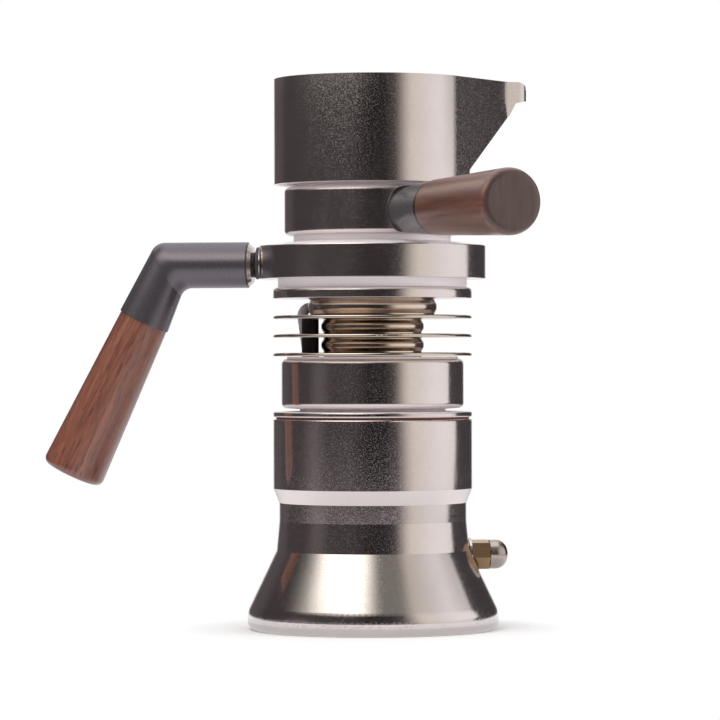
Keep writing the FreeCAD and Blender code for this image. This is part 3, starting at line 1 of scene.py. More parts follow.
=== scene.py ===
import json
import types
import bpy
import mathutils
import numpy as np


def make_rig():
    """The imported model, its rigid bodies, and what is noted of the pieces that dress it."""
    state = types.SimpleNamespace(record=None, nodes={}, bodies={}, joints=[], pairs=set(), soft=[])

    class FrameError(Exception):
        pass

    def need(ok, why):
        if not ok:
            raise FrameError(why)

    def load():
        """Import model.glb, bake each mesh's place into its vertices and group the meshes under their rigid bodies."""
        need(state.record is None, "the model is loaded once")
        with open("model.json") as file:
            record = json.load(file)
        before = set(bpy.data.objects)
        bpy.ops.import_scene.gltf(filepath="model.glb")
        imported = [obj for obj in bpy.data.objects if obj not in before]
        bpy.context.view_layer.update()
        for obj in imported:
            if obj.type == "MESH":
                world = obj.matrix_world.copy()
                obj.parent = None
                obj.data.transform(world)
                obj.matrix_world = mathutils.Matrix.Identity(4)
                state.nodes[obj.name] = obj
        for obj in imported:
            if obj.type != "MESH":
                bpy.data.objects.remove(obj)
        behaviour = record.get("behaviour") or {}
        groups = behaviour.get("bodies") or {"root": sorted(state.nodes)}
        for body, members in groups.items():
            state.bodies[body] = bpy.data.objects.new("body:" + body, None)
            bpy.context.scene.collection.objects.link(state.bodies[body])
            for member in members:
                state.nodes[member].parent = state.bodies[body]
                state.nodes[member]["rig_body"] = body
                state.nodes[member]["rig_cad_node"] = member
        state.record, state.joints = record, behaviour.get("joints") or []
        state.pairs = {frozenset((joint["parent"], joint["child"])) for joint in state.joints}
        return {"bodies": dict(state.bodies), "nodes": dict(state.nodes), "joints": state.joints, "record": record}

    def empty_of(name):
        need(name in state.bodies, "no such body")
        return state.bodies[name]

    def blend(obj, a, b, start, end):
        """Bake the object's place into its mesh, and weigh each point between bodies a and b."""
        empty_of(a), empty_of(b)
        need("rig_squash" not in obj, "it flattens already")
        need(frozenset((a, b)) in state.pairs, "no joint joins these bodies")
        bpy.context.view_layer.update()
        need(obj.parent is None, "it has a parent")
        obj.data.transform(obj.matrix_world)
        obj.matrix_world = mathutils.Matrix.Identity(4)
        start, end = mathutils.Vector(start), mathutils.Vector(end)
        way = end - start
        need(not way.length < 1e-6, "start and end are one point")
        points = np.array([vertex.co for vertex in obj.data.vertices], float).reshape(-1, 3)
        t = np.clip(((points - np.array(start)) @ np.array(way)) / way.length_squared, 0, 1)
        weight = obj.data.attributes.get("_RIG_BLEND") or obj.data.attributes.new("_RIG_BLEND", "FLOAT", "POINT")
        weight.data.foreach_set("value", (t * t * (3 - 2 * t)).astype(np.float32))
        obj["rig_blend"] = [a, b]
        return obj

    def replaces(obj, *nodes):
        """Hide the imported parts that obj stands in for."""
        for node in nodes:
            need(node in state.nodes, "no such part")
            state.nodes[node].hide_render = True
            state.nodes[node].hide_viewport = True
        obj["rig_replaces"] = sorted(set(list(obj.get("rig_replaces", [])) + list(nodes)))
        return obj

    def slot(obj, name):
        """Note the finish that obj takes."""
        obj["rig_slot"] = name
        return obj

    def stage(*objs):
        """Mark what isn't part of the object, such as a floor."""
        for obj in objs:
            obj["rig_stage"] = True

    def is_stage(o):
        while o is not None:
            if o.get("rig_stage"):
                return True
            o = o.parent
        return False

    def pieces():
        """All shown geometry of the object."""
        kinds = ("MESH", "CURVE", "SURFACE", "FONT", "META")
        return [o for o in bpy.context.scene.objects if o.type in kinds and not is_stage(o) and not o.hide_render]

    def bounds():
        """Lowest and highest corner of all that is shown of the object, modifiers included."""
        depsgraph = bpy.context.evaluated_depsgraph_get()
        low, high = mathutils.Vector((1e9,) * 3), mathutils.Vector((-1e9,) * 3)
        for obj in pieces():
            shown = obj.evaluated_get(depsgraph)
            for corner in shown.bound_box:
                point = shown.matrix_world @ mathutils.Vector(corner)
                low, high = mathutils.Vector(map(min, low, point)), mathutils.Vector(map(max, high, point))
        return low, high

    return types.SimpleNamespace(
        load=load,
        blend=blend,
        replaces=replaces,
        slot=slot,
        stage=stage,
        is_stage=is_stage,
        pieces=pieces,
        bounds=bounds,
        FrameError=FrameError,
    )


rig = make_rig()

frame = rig.load()

import json
import math

import bpy
from mathutils import Matrix, Vector

CAD_BOX = [list(corner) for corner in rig.bounds()]
NODES = frame["nodes"]

# Camera, from the photograph: how far it stands, how high, and how it leans
PICTURE = 720
SENSOR = 36.0
CAMERA_DISTANCE = 1.475
CAMERA_HEIGHT = 0.1062
PIXELS_PER_METRE = 2550
AXIS_COLUMN = 372.55
HORIZON_ROW = 358.0
ROLL = -0.0023

# Directions of the two handles and of the relief valve, in degrees
STRAIGHT_AZIMUTH = -65.0
BENT_AZIMUTH = 172.0
BENT_DROP = 64.15
VALVE_AZIMUTH = 9.0

# Colours as they should render, in sRGB from 0 to 1
METAL = (0.875, 0.845, 0.835)
HANDLE_GREY = (0.41, 0.385, 0.41)
FERRULE_GREY = (0.46, 0.45, 0.46)
STUD_GREY = (0.22, 0.20, 0.21)
BOSS_GREY = (0.24, 0.22, 0.235)
FIN_METAL = (0.86, 0.81, 0.76)
STEEL = (0.82, 0.77, 0.76)
CAP_STEEL = (0.70, 0.66, 0.63)
BRASS = (0.68, 0.57, 0.44)
ALUMINIUM = (0.86, 0.86, 0.87)
WOOD_LIGHT = (0.56, 0.35, 0.265)
WOOD_MIDDLE = (0.44, 0.25, 0.18)
WOOD_DARK = (0.29, 0.155, 0.11)
WOOD_END = (0.28, 0.205, 0.19)
WOOD_END_DARK = (0.235, 0.16, 0.145)
GASKET_RED = (0.45, 0.21, 0.16)
BLACK = (0.04, 0.035, 0.04)
# Almost white colour of the seam necks: a painted reflection of the bright floor and tent top
SATIN_REFLECTION_WHITE = (0.97, 0.94, 0.95)
PIPE_BLACK = (0.13, 0.10, 0.12)
TUBE_WHITE = (0.82, 0.79, 0.83)
PAPER = (0.975, 0.97, 0.97)
PAPER_SHADE = (0.965, 0.96, 0.96)
COAT_TINT = (1.0, 0.93, 0.93, 1.0)
WHITE = (1.0, 1.0, 1.0, 1.0)

# Finish of the metals: noise scales per metre, depths in metres
BODY_GRAIN = 1800.0
HANDLE_GRAIN = 3000.0
CLOUD_GRAIN = 70.0
CLOUD_SHADE = 0.975
GRAIN_START = 0.42
GRAIN_END = 0.64
BODY_GLOSS = (0.08, 0.25)
BODY_DEPTH = 0.000006
HANDLE_DEPTH = 0.000002
HANDLE_METALLIC = 0.66
SATIN_METALLIC = 0.25
SATIN_ROUGHNESS = 0.4

# Turned metal and matt plastic: noise scales per metre, darker and paler shares, the swing of the
# roughness, and depths in metres
TURNED_STRETCH = (0.02, 0.02, 1.0)
TURNED_GRAIN = 2500.0
TURNED_CLOUD = 90.0
TURNED_SHADE = 0.96
TURNED_DEPTH = 0.000004
PLASTIC_GRAIN = 700.0
PLASTIC_SHADE = 1.15
PLASTIC_SWING = 0.08
PLASTIC_DEPTH = 0.00005

# Wood: noise scales per metre, how far the noise stretches along the grip or the height, the depth
# of its pores, and how far from the tip the end face starts
WOOD_BANDS = 160.0
WOOD_STREAKS = 900.0
WOOD_PORES = 2600.0
WOOD_END_GRAIN = 700.0
WOOD_STRETCH = (1.0, 1.0, 0.06)
WOOD_END_STRETCH = (1.0, 1.0, 0.1)
WOOD_DEPTH = 0.00006
WOOD_END_START = 0.0012
WOOD_END_FULL = 0.0004

# Satin zones in the seams, whose almost white colour is a painted reflection of the bright floor and tent top: lowest
# height, greatest height and greatest radius, in metres
CUP_SATIN_REFLECTION = [(0.171, 0.1743, 0.0372)]
RING_SATIN_REFLECTION = [(0.1728, 0.180, 0.0332)]
COLLAR_SATIN_REFLECTION = [(0.15012, 0.170, 0.0442)]
SINK_SATIN_REFLECTION = [(0.1338, 0.138, 0.0375)]
BAND_SATIN_REFLECTION = [(0.0851, 0.0867, 0.0392), (0.1056, 0.120, 0.0362)]
BOSS_START = 0.0446
RING_BEVEL = 0.001

# Ends of the handle metals: the width of the band's soft edge, then depth, colour and metallic share
TIP_EDGE = 0.0002
ELBOW_MOUTH = (0.0012, METAL, 1.0)
FERRULE_LIP = (0.0011, BLACK, 0.0)


def linear(colour):
    """Turn an sRGB colour into the linear one that shaders take."""
    def channel(c):
        return c / 12.92 if c <= 0.04045 else ((c + 0.055) / 1.055) ** 2.4
    return tuple(channel(c) for c in colour) + (1.0,)


class Shader:
    """A small builder for one material's nodes."""

    def __init__(self, name):
        self.material = bpy.data.materials.new(name)
        self.material.use_nodes = True
        self.tree = self.material.node_tree
        self.surface = self.tree.nodes["Principled BSDF"]

    def node(self, kind, **settings):
        made = self.tree.nodes.new(kind)
        for key, setting in settings.items():
            setattr(made, key, setting)
        return made

    def link(self, source, target):
        self.tree.links.new(source, target)

    def set(self, **values):
        for key, setting in values.items():
            self.surface.inputs[key.replace("_", " ")].default_value = setting

    def coordinates(self, scale=(1, 1, 1), rotation=(0, 0, 0)):
        """Give the object's own coordinates, turned first and stretched after that."""
        vector = self.node("ShaderNodeTexCoord").outputs["Object"]
        for key, setting in (("Rotation", rotation), ("Scale", scale)):
            mapping = self.node("ShaderNodeMapping")
            mapping.inputs[key].default_value = setting
            self.link(vector, mapping.inputs["Vector"])
            vector = mapping.outputs["Vector"]
        return vector

    def constant(self, colour):
        """Give one colour as an output, to be mixed with others."""
        made = self.node("ShaderNodeRGB")
        made.outputs[0].default_value = linear(colour)
        return made.outputs[0]

    def height(self, vector):
        apart = self.node("ShaderNodeSeparateXYZ")
        self.link(vector, apart.inputs["Vector"])
        return apart.outputs["Z"]

    def length(self, vector):
        length = self.node("ShaderNodeVectorMath", operation="LENGTH")
        self.link(vector, length.inputs[0])
        return length.outputs["Value"]

    def radius(self, vector):
        """Give the distance from the upright axis."""
        level = self.node("ShaderNodeVectorMath", operation="MULTIPLY")
        level.inputs[1].default_value = (1.0, 1.0, 0.0)
        self.link(vector, level.inputs[0])
        return self.length(level.outputs["Vector"])

    def noise(self, vector, scale, detail=3.0, roughness=0.55, distortion=0.0):
        noise = self.node("ShaderNodeTexNoise")
        noise.inputs["Scale"].default_value = scale
        noise.inputs["Detail"].default_value = detail
        noise.inputs["Roughness"].default_value = roughness
        noise.inputs["Distortion"].default_value = distortion
        self.link(vector, noise.inputs["Vector"])
        return noise.outputs["Fac"]

    def ramp(self, fac, stops):
        ramp = self.node("ShaderNodeValToRGB")
        elements = ramp.color_ramp.elements
        while len(elements) < len(stops):
            elements.new(0.5)
        for element, (place, colour) in zip(elements, stops):
            element.position = place
            element.color = linear(colour)
        self.link(fac, ramp.inputs["Fac"])
        return ramp.outputs["Color"]

    def spread(self, fac, low, high, start=0.3, end=0.7):
        """Map a noise between start and end to a number between low and high."""
        spread = self.node("ShaderNodeMapRange")
        spread.inputs["From Min"].default_value = start
        spread.inputs["From Max"].default_value = end
        spread.inputs["To Min"].default_value = low
        spread.inputs["To Max"].default_value = high
        self.link(fac, spread.inputs["Value"])
        return spread.outputs["Result"]

    def put(self, term, socket):
        """Set a socket to a number, or link an output to it."""
        if isinstance(term, float):
            socket.default_value = term
        else:
            self.link(term, socket)

    def mix(self, fac, first, second):
        mix = self.node("ShaderNodeMix", data_type="RGBA")
        self.put(fac, mix.inputs["Factor"])
        self.link(first, mix.inputs["A"])
        self.link(second, mix.inputs["B"])
        return mix.outputs["Result"]

    def math(self, operation, first, second):
        made = self.node("ShaderNodeMath", operation=operation)
        self.put(first, made.inputs[0])
        self.put(second, made.inputs[1])
        return made.outputs["Value"]

    def bump(self, height, strength, distance, bevel=0.0):
        bump = self.node("ShaderNodeBump")
        if bevel:
            edges = self.node("ShaderNodeBevel", samples=8)
            edges.inputs["Radius"].default_value = bevel
            self.link(edges.outputs["Normal"], bump.inputs["Normal"])
        bump.inputs["Strength"].default_value = strength
        bump.inputs["Distance"].default_value = distance
        self.link(height, bump.inputs["Height"])
        self.link(bump.outputs["Normal"], self.surface.inputs["Normal"])

    def feed(self, socket, output):
        self.link(output, self.surface.inputs[socket])

    def glow(self, colour):
        light = self.node("ShaderNodeEmission")
        light.inputs["Color"].default_value = colour
        return light

    def blend(self, fac, first, second):
        """Mix two surfaces."""
        blend = self.node("ShaderNodeMixShader")
        self.link(fac, blend.inputs["Fac"])
        self.link(first, blend.inputs[1])
        self.link(second, blend.inputs[2])
        return blend.outputs["Shader"]

    def show(self, surface):
        self.link(surface, self.tree.nodes["Material Output"].inputs["Surface"])


def clouded(shader, colour, grain_scale):
    """Give a metal's fine grain and its faintly clouded colour."""
    place = shader.coordinates()
    grain = shader.noise(place, grain_scale, detail=2.0, roughness=0.6)
    cloud = shader.noise(place, CLOUD_GRAIN)
    shade = tuple(CLOUD_SHADE * c for c in colour)
    return grain, shader.ramp(cloud, [(0.3, shade), (0.7, colour)])


def grained_metal(name, colour, gloss, grain_scale, depth, metallic=1.0):
    """Bead-blasted and polished metal: a fine grain in its gloss and surface."""
    shader = Shader(name)
    shader.set(Metallic=metallic)
    grain, tone = clouded(shader, colour, grain_scale)
    shader.feed("Base Color", tone)
    shader.feed("Roughness", shader.spread(grain, *gloss, GRAIN_START, GRAIN_END))
    shader.bump(grain, 1.0, depth)
    return shader.material


def seam_metal(name, zones, bevel=0.0, boss=None):
    """Body metal whose necks and top faces in these zones are rougher, less metallic and almost white; the almost
    white colour is a painted reflection of the bright floor.

    What stands farther out than the boss radius has the dark finish of the handle."""
    shader = Shader(name)
    grain, tone = clouded(shader, METAL, BODY_GRAIN)
    place = shader.coordinates()
    height = shader.height(place)
    radius = shader.radius(place)
    masks = []
    for low, high, reach in zones:
        above = shader.math("GREATER_THAN", height, low)
        below = shader.math("LESS_THAN", height, high)
        inside = shader.math("LESS_THAN", radius, reach)
        masks.append(shader.math("MULTIPLY", shader.math("MULTIPLY", above, below), inside))
    satin_reflection = masks[0]
    for mask in masks[1:]:
        satin_reflection = shader.math("MAXIMUM", satin_reflection, mask)
    # The zones take the almost white colour, a painted reflection of the bright floor
    tone = shader.mix(satin_reflection, tone, shader.constant(SATIN_REFLECTION_WHITE))
    if boss:
        outside = shader.math("GREATER_THAN", radius, boss)
        tone = shader.mix(outside, tone, shader.constant(BOSS_GREY))
        satin_reflection = shader.math("MAXIMUM", satin_reflection, outside)
    shader.feed("Base Color", tone)
    shader.feed("Metallic", shader.spread(satin_reflection, 1.0, SATIN_METALLIC, 0.0, 1.0))
    gloss = shader.spread(grain, *BODY_GLOSS, GRAIN_START, GRAIN_END)
    shader.feed("Roughness", shader.math("ADD", shader.math("MULTIPLY", satin_reflection, SATIN_ROUGHNESS), gloss))
    shader.bump(grain, 1.0, BODY_DEPTH, bevel)
    return shader.material


def tipped_metal(name, colour, gloss, node, azimuth, tip):
    """Handle metal whose end towards this azimuth has a band of its own: depth, colour and metallic."""
    shader = Shader(name)
    grain, painted = clouded(shader, colour, HANDLE_GRAIN)
    direction, rotation = aligned_rotation(azimuth, 0)
    end = reach_along(node, direction)
    depth, tip_colour, tip_metallic = tip
    along = shader.height(shader.coordinates(rotation=rotation))
    mask = shader.spread(along, 0.0, 1.0, end - depth - TIP_EDGE, end - depth)
    shader.feed("Base Color", shader.mix(mask, painted, shader.constant(tip_colour)))
    shader.feed("Metallic", shader.spread(mask, HANDLE_METALLIC, tip_metallic, 0.0, 1.0))
    shader.feed("Roughness", shader.spread(grain, *gloss, GRAIN_START, GRAIN_END))
    shader.bump(grain, 1.0, HANDLE_DEPTH)
    return shader.material


def turned_metal(name, colour, rough_low, rough_high):
    """Turned metal: very fine rings along the height, and gloss that varies with them."""
    shader = Shader(name)
    shader.set(Metallic=1.0)
    groove = shader.noise(shader.coordinates(scale=TURNED_STRETCH), TURNED_GRAIN, detail=2.0)
    cloud = shader.noise(shader.coordinates(), TURNED_CLOUD)
    shade = tuple(TURNED_SHADE * c for c in colour)
    shader.feed("Base Color", shader.ramp(cloud, [(0.3, shade), (0.7, colour)]))
    shader.feed("Roughness", shader.spread(groove, rough_low, rough_high))
    shader.bump(groove, 0.4, TURNED_DEPTH)
    return shader.material


def walnut(name, node, azimuth, drop, seed, tone, coat):
    """Oiled walnut: streaks, growth bands and short dark pores along the grip, and a plainer end face."""
    direction, rotation = aligned_rotation(azimuth, drop)
    reach = reach_along(node, direction)
    shader = Shader(name)
    shader.set(IOR=1.5, Coat_Weight=coat, Coat_IOR=1.6, Coat_Roughness=0.28)
    shader.set(Coat_Tint=COAT_TINT)
    along = shader.coordinates(scale=WOOD_STRETCH, rotation=rotation)
    shift = shader.node("ShaderNodeVectorMath", operation="ADD")
    shift.inputs[1].default_value = (seed, seed * 0.7, seed * 0.3)
    shader.link(along, shift.inputs[0])
    place = shift.outputs["Vector"]
    bands = shader.noise(place, WOOD_BANDS, detail=4.0, roughness=0.6, distortion=0.6)
    streak = shader.noise(place, WOOD_STREAKS, detail=3.0, roughness=0.65)
    pores = shader.noise(place, WOOD_PORES, detail=1.0, roughness=0.5)
    # tone scales all three walnut colours; the straight grip's lower tone is partly the wood's own variation and
    # partly painted shade
    deep, middle, pale = (tuple(tone * c for c in wood) for wood in (WOOD_DARK, WOOD_MIDDLE, WOOD_LIGHT))
    body = shader.ramp(bands, [(0.30, deep), (0.46, middle), (0.66, pale)])
    fine = shader.ramp(streak, [(0.35, deep), (0.62, pale)])
    grainy = shader.mix(0.35, body, fine)
    pore_mask = shader.spread(pores, 0.75, 0.0, 0.30, 0.42)
    side = shader.mix(pore_mask, grainy, shader.constant(tuple(0.7 * c for c in WOOD_DARK)))
    length = shader.height(shader.coordinates(rotation=rotation))
    end = shader.spread(length, 0.0, 1.0, reach - WOOD_END_START, reach - WOOD_END_FULL)
    upright = shader.noise(shader.coordinates(scale=WOOD_END_STRETCH), WOOD_END_GRAIN, detail=2.0)
    cut = shader.ramp(upright, [(0.3, WOOD_END_DARK), (0.7, WOOD_END)])
    shader.feed("Base Color", shader.mix(end, side, cut))
    shader.feed("Roughness", shader.spread(streak, 0.34, 0.50))
    shader.bump(pores, 0.3, WOOD_DEPTH)
    return shader.material


def soft_plastic(name, colour, roughness=0.6):
    """Rubber or matt plastic with a faint mottle."""
    shader = Shader(name)
    grain = shader.noise(shader.coordinates(), PLASTIC_GRAIN)
    pale = tuple(min(1.0, PLASTIC_SHADE * c) for c in colour)
    shader.feed("Base Color", shader.ramp(grain, [(0.3, colour), (0.7, pale)]))
    shader.feed("Roughness", shader.spread(grain, roughness - PLASTIC_SWING, roughness + PLASTIC_SWING))
    shader.bump(grain, 0.2, PLASTIC_DEPTH)
    return shader.material


def dress(material, *names):
    """Give these CAD nodes a material, and the record's slot it stands for."""
    for name in names:
        slots = NODES[name].data.materials
        slots.clear()
        slots.append(material)
        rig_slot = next(s["material_slot"] for s in frame["record"]["subparts"] if s["node"] == name)
        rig.slot(NODES[name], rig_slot)


def reach_along(node, direction):
    """Give how far a CAD node reaches in a direction."""
    return max(direction.dot(vertex.co) for vertex in NODES[node].data.vertices)


def aligned_rotation(azimuth, drop):
    """Turn texture space so that its Z axis lies along a grip at this azimuth and drop."""
    direction = Vector((math.cos(math.radians(azimuth)), math.sin(math.radians(azimuth)), 0))
    direction = direction * math.cos(math.radians(drop)) - Vector((0, 0, math.sin(math.radians(drop))))
    turn = direction.to_track_quat("Z", "Y").inverted()
    return direction, turn.to_euler("XYZ")


def dress_nodes():
    dress(grained_metal("body_metal", METAL, BODY_GLOSS, BODY_GRAIN, BODY_DEPTH),
          "lower_boiler", "outlet_chimney", "chimney_cap")
    dress(seam_metal("cup_metal", CUP_SATIN_REFLECTION), "vessel_cup")
    dress(seam_metal("band_metal", BAND_SATIN_REFLECTION), "upper_boiler")
    dress(seam_metal("sink_flange_metal", SINK_SATIN_REFLECTION), "sink_flange")
    dress(seam_metal("collar_metal", COLLAR_SATIN_REFLECTION, boss=BOSS_START), "group_collar")
    dress(seam_metal("ring_metal", RING_SATIN_REFLECTION, bevel=RING_BEVEL), "vessel_ring")
    dress(turned_metal("fin_metal", FIN_METAL, 0.10, 0.20), "heat_sink")
    dress(soft_plastic("pipe_black", PIPE_BLACK, 0.35), "standpipe")
    dress(soft_plastic("tube_white", TUBE_WHITE, 0.3), "bypass_tube")
    dress(tipped_metal("handle_metal", HANDLE_GREY, (0.22, 0.28), "handle_elbow", BENT_AZIMUTH + 180,
                       ELBOW_MOUTH), "handle_elbow")
    dress(tipped_metal("ferrule_metal", FERRULE_GREY, (0.26, 0.32), "ferrule", STRAIGHT_AZIMUTH,
                       FERRULE_LIP), "ferrule")
    dress(grained_metal("stud_metal", STUD_GREY, (0.4, 0.5), HANDLE_GRAIN, HANDLE_DEPTH, 0.6),
          "handle_stud")
    dress(turned_metal("valve_cap_steel", CAP_STEEL, 0.16, 0.24), "relief_valve_cap")
    dress(turned_metal("valve_steel", STEEL, 0.10, 0.18), "relief_valve_washer")
    dress(turned_metal("valve_brass", BRASS, 0.22, 0.30),
          "relief_valve_body", "relief_valve_plunger", "valve_body", "valve_plunger", "valve_adjuster")
    dress(turned_metal("inner_aluminium", ALUMINIUM, 0.3, 0.4),
          "boiler_lid", "dip_tube", "riser_tube", "dispersion_plate", "coffee_basket", "filter_screen",
          "exchanger_coil")
    dress(turned_metal("screw_steel", STEEL, 0.25, 0.35),
          "lid_screws", "sink_screws", "collar_screws", "straight_grip_rod", "bent_grip_rod",
          "relief_valve_spring", "valve_spring", "screen_ring")
    dress(soft_plastic("red_rubber", GASKET_RED), "boiler_gasket", "basket_gasket")
    dress(soft_plastic("black_rubber", BLACK), "ferrule_washer")
    # The straight grip's lower tone (0.8, against 1.05) is partly the wood's own variation and partly painted shade
    dress(walnut("walnut_straight", "straight_grip", STRAIGHT_AZIMUTH, 0, seed=0.3, tone=0.8, coat=0.65),
          "straight_grip")
    dress(walnut("walnut_bent", "bent_grip", BENT_AZIMUTH, BENT_DROP, seed=0.9, tone=1.05, coat=0.9),
          "bent_grip")


def make_springs():
    """Let each valve spring shorten as its plunger lifts: one end stays, the other rides the plunger."""
    outward = Vector((math.cos(math.radians(VALVE_AZIMUTH)), math.sin(math.radians(VALVE_AZIMUTH)), 0))
    for node, body, plunger, axis in (("relief_valve_spring", "base", "relief_plunger", outward),
                                      ("valve_spring", "upper", "pressure_plunger", Vector((0, 0, 1)))):
        mesh = NODES[node].data.copy()
        spring = bpy.data.objects.new(node + "_coils", mesh)
        bpy.context.scene.collection.objects.link(spring)
        spring.matrix_world = NODES[node].matrix_world
        foot = axis * -reach_along(node, -axis)
        head = axis * reach_along(node, axis)
        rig.replaces(spring, node)
        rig.slot(spring, NODES[node]["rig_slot"])
        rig.blend(spring, plunger, body, foot, head)


def make_camera():
    """Stand the camera where the photograph was taken from."""
    camera = bpy.data.cameras.new("camera")
    camera.sensor_width = SENSOR
    camera.lens = PIXELS_PER_METRE * CAMERA_DISTANCE / PICTURE * SENSOR
    camera.clip_end = 50.0
    thing = bpy.data.objects.new("camera", camera)
    bpy.context.scene.collection.objects.link(thing)
    focal = PIXELS_PER_METRE * CAMERA_DISTANCE
    side = (PICTURE / 2 - AXIS_COLUMN) / PIXELS_PER_METRE
    nod = (HORIZON_ROW - PICTURE / 2) / focal
    turn = Matrix.Rotation(math.pi / 2 + nod, 4, "X") @ Matrix.Rotation(ROLL, 4, "Z")
    thing.matrix_world = Matrix.Translation((side, -CAMERA_DISTANCE, CAMERA_HEIGHT)) @ turn
    bpy.context.scene.camera = thing


# The floor: size, noise scale, where its shadow gives way to white, and its glow in reflections, as
# strengths and the distances where they start and end. The glow is dimmer close to the object, a painted shadow.
FLOOR_HALF_SIZE = 12.0
PAPER_GRAIN = 40.0
SHADOW_RADIUS = 0.052
WHITE_RADIUS = 0.076
FLOOR_TINT = (1.0, 0.975, 1.0, 1.0)
NEAR_GLOW_PAINTED_SHADOW = (0.68, 1.08, 0.05, 0.12)
FAR_FADE = (1.0, 0.5, 0.15, 0.45)

# The world's strength for diffuse light, and the lamps: place, width, height and power
WORLD_GLOW = 0.68
LAMP_TARGET = (0, 0, 0.12)
LAMPS = {"right_lamp": ((1.2, -0.3, 0.6), 0.8, 1.0, 6.0),
         "top_lamp": ((-0.5, -0.7, 1.3), 1.0, 0.8, 10.0)}

# The light tent: size in metres, tints, and how bright its cloths and boxes glow. In the functions
# below, edges that a hump or rise names are azimuths in degrees or heights in metres.
TENT_RADIUS = 0.5
TENT_CENTRE = 0.03
TENT_STEP = 2
TENT_HEIGHTS = [0, 0.02, 0.04, 0.06, 0.09, 0.13, 0.18, 0.24, 0.30, 0.34, 0.36, 0.40, 0.44, 0.46, 0.50, 0.53]
WALL_TINT = (1.0, 0.84, 0.90)
FRONT_TINT = (1.0, 0.96, 0.88)
WARM_TINT = (1.0, 0.92, 0.83)
COOL_TINT = (1.0, 0.967, 0.972)
PLAIN_TINT = (1.0, 0.985, 1.0)
WALL_GLOW = 0.06
LOW_WALL_GLOW = 0.08
STREAK_GLOW = 0.07
SIDE_GLOW = 0.04
FLAG_DEPTH = 0.85
FLAG_EASE = 0.4
SKIRT_GLOW = 0.22
BACKDROP_GLOW = 1.0
FRONT_BOX_GLOW = 2.5
TOP_GLOW = 1.5


def rise(x, start, end):
    """Climb smoothly from 0 at the start to 1 at the end."""
    t = min(1.0, max(0.0, (x - start) / (end - start)))
    return t * t * (3 - 2 * t)


def hump(x, start, full, fading, end):
    """Climb from 0 to 1, stay there and fall to 0 again."""
    return rise(x, start, full) * (1 - rise(x, fading, end))


def wall_glow(azimuth, left, height):
    """Give the glow of the dark cloth, with its low, streaked and shaded parts."""
    low = LOW_WALL_GLOW * hump(left, 165, 195, 330, 350) * (1 - rise(height, 0.015, 0.06))
    wall = (WALL_GLOW + low) * (1 - 0.6 * rise(height, 0.26, 0.34))
    wall += STREAK_GLOW * hump(left, 182, 200, 202, 220) * (1 - rise(height, 0.09, 0.16))
    wall += SIDE_GLOW * hump(left, 90, 112, 135, 155)
    flag = hump(azimuth, -118, -92, -78, -66) * rise(height, 0.01, 0.06)
    return wall * (1 - (FLAG_DEPTH - FLAG_EASE * hump(height, 0.06, 0.12, 0.18, 0.22)) * flag)


def right_box(azimuth, height):
    """Give the share, strength and tint of the tall light box on the right."""
    shift = 7 * (1 - rise(height, 0.02, 0.06))
    share = hump(azimuth, -67 + shift / 2, -43 + shift / 2, 16 - shift, 20 - shift)
    strength = (0.84 + 0.18 * rise(azimuth, -50, 0)) * (1 - 0.35 * rise(height, 0.22, 0.42))
    strength *= 0.8 + 0.2 * rise(height, 0, 0.05)
    strength *= 1 - 0.35 * rise(azimuth, -10, 15) * rise(height, 0.18, 0.26)
    warm = 1 - rise(azimuth, -55, -10)
    return share, strength, [w * warm + c * (1 - warm) for w, c in zip(WARM_TINT, COOL_TINT)]


def tent_colour(azimuth, height):
    """Give the tent's glow in three channels at one azimuth, in degrees, and one height."""
    left = azimuth % 360
    colour = [wall_glow(azimuth, left, height) * channel for channel in WALL_TINT]
    layers = (
        (hump(left, 160, 178, 294, 308) * rise(height, 0.26, 0.33), SKIRT_GLOW, FRONT_TINT),
        (hump(left, 20, 60, 140, 175) * rise(height, 0.28, 0.36), BACKDROP_GLOW, PLAIN_TINT),
        (hump(left, 66, 76, 104, 114), BACKDROP_GLOW, PLAIN_TINT),
        right_box(azimuth, height),
        (hump(left, 170, 214, 246, 280) * rise(height, 0.27, 0.37), FRONT_BOX_GLOW, FRONT_TINT),
        (rise(height, 0.44, 0.48), TOP_GLOW, PLAIN_TINT),
    )
    for share, strength, tint in layers:
        for index, channel in enumerate(tint):
            colour[index] += (strength * channel - colour[index]) * share
    return colour


def make_tent():
    """Stand a tent of cloth and light boxes round the object, seen in its reflections alone."""
    columns = range(-180, 180, TENT_STEP)
    count = len(columns)
    points = []
    glows = []
    for height in TENT_HEIGHTS:
        radius = math.sqrt(max(1e-6, TENT_RADIUS ** 2 - (height - TENT_CENTRE) ** 2))
        for azimuth in columns:
            a = math.radians(azimuth)
            points.append((radius * math.cos(a), radius * math.sin(a), height))
            glows += tent_colour(azimuth, height) + [1.0]
    faces = []
    for row in range(len(TENT_HEIGHTS) - 1):
        for column in range(count):
            following = (column + 1) % count
            faces.append((row * count + column, row * count + following,
                          (row + 1) * count + following, (row + 1) * count + column))
    mesh = bpy.data.meshes.new("light_tent")
    mesh.from_pydata(points, [], faces)
    glow = mesh.attributes.new("glow", "FLOAT_COLOR", "POINT")
    glow.data.foreach_set("color", glows)
    tent = bpy.data.objects.new("light_tent", mesh)
    bpy.context.scene.collection.objects.link(tent)
    shader = Shader("tent_cloth")
    reader = shader.node("ShaderNodeAttribute", attribute_name="glow")
    light = shader.glow(WHITE)
    shader.link(reader.outputs["Color"], light.inputs["Color"])
    shader.show(light.outputs["Emission"])
    mesh.materials.append(shader.material)
    tent.visible_camera = False
    tent.visible_diffuse = False
    tent.visible_shadow = False
    tent.visible_transmission = False
    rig.stage(tent)


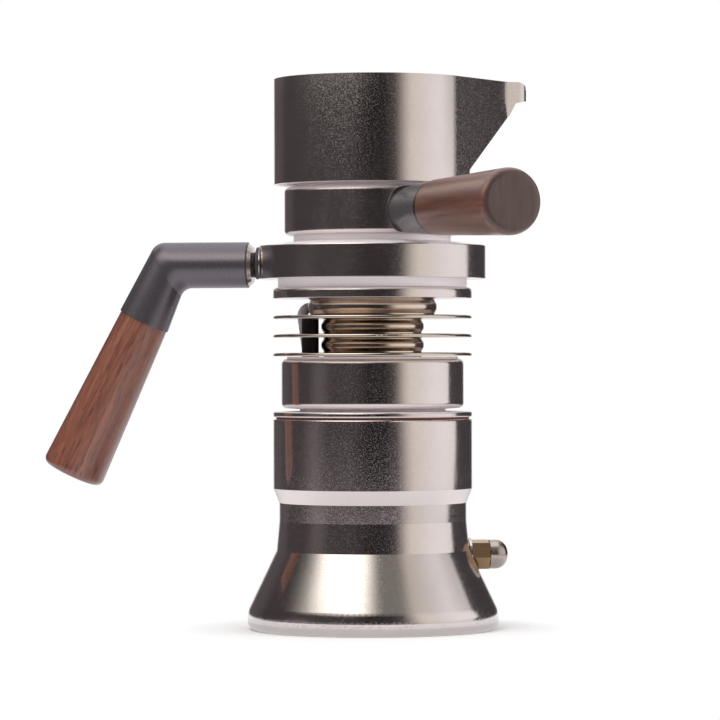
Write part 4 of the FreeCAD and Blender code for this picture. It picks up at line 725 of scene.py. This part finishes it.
def make_floor():
    """Lay a white floor that keeps the object's shadow and is plain white beyond it."""
    mesh = bpy.data.meshes.new("floor")
    size = FLOOR_HALF_SIZE
    mesh.from_pydata([(-size, -size, 0), (size, -size, 0), (size, size, 0), (-size, size, 0)], [],
                     [(0, 1, 2, 3)])
    floor = bpy.data.objects.new("floor", mesh)
    bpy.context.scene.collection.objects.link(floor)
    shader = Shader("floor_paper")
    shader.set(Roughness=0.9, Specular_IOR_Level=0.0)
    place = shader.coordinates()
    mottle = shader.noise(place, PAPER_GRAIN)
    shader.feed("Base Color", shader.ramp(mottle, [(0.3, PAPER_SHADE), (0.7, PAPER)]))
    radius = shader.length(place)
    path = shader.node("ShaderNodeLightPath")
    plain = shader.glow(WHITE)
    white = shader.spread(radius, 0.0, 1.0, SHADOW_RADIUS, WHITE_RADIUS)
    seen = shader.blend(white, shader.surface.outputs["BSDF"], plain.outputs["Emission"])
    bright = shader.glow(FLOOR_TINT)
    # Dimmer glow close to the object: a painted shadow in the floor's reflection
    near_shadow = shader.spread(radius, *NEAR_GLOW_PAINTED_SHADOW)
    fade = shader.spread(radius, *FAR_FADE)
    shader.link(shader.math("MULTIPLY", near_shadow, fade), bright.inputs["Strength"])
    shader.show(shader.blend(path.outputs["Is Glossy Ray"], seen, bright.outputs["Emission"]))
    mesh.materials.append(shader.material)
    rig.stage(floor)


def make_world():
    """Light the object evenly from all round, a little below the white that camera and metal see."""
    world = bpy.data.worlds.new("studio")
    bpy.context.scene.world = world
    world.use_nodes = True
    tree = world.node_tree
    background = tree.nodes["Background"]
    path = tree.nodes.new("ShaderNodeLightPath")
    seen = tree.nodes.new("ShaderNodeMath")
    seen.operation = "MAXIMUM"
    tree.links.new(path.outputs["Is Camera Ray"], seen.inputs[0])
    tree.links.new(path.outputs["Is Glossy Ray"], seen.inputs[1])
    also = tree.nodes.new("ShaderNodeMath")
    also.operation = "MAXIMUM"
    tree.links.new(seen.outputs[0], also.inputs[0])
    tree.links.new(path.outputs["Is Transmission Ray"], also.inputs[1])
    strength = tree.nodes.new("ShaderNodeMapRange")
    strength.inputs["To Min"].default_value = WORLD_GLOW
    strength.inputs["To Max"].default_value = 1.0
    tree.links.new(also.outputs[0], strength.inputs["Value"])
    tree.links.new(strength.outputs["Result"], background.inputs["Strength"])
    background.inputs["Color"].default_value = WHITE


def make_lamps():
    """Hang soft lamps that light the object and don't show in its reflections."""
    for name, (place, width, height, power) in LAMPS.items():
        light = bpy.data.lights.new(name, "AREA")
        light.shape = "RECTANGLE"
        light.size = width
        light.size_y = height
        light.energy = power
        lamp = bpy.data.objects.new(name, light)
        bpy.context.scene.collection.objects.link(lamp)
        lamp.location = place
        lamp.rotation_euler = (Vector(LAMP_TARGET) - Vector(place)).to_track_quat("-Z", "Y").to_euler()
        lamp.visible_glossy = False


dress_nodes()
make_springs()
make_camera()
make_tent()
make_floor()
make_world()
make_lamps()
bpy.context.scene.view_settings.view_transform = "Standard"

with open("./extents.json", "w") as size_file:
    json.dump({"cad": CAD_BOX, "visual": [list(corner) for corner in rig.bounds()]}, size_file)
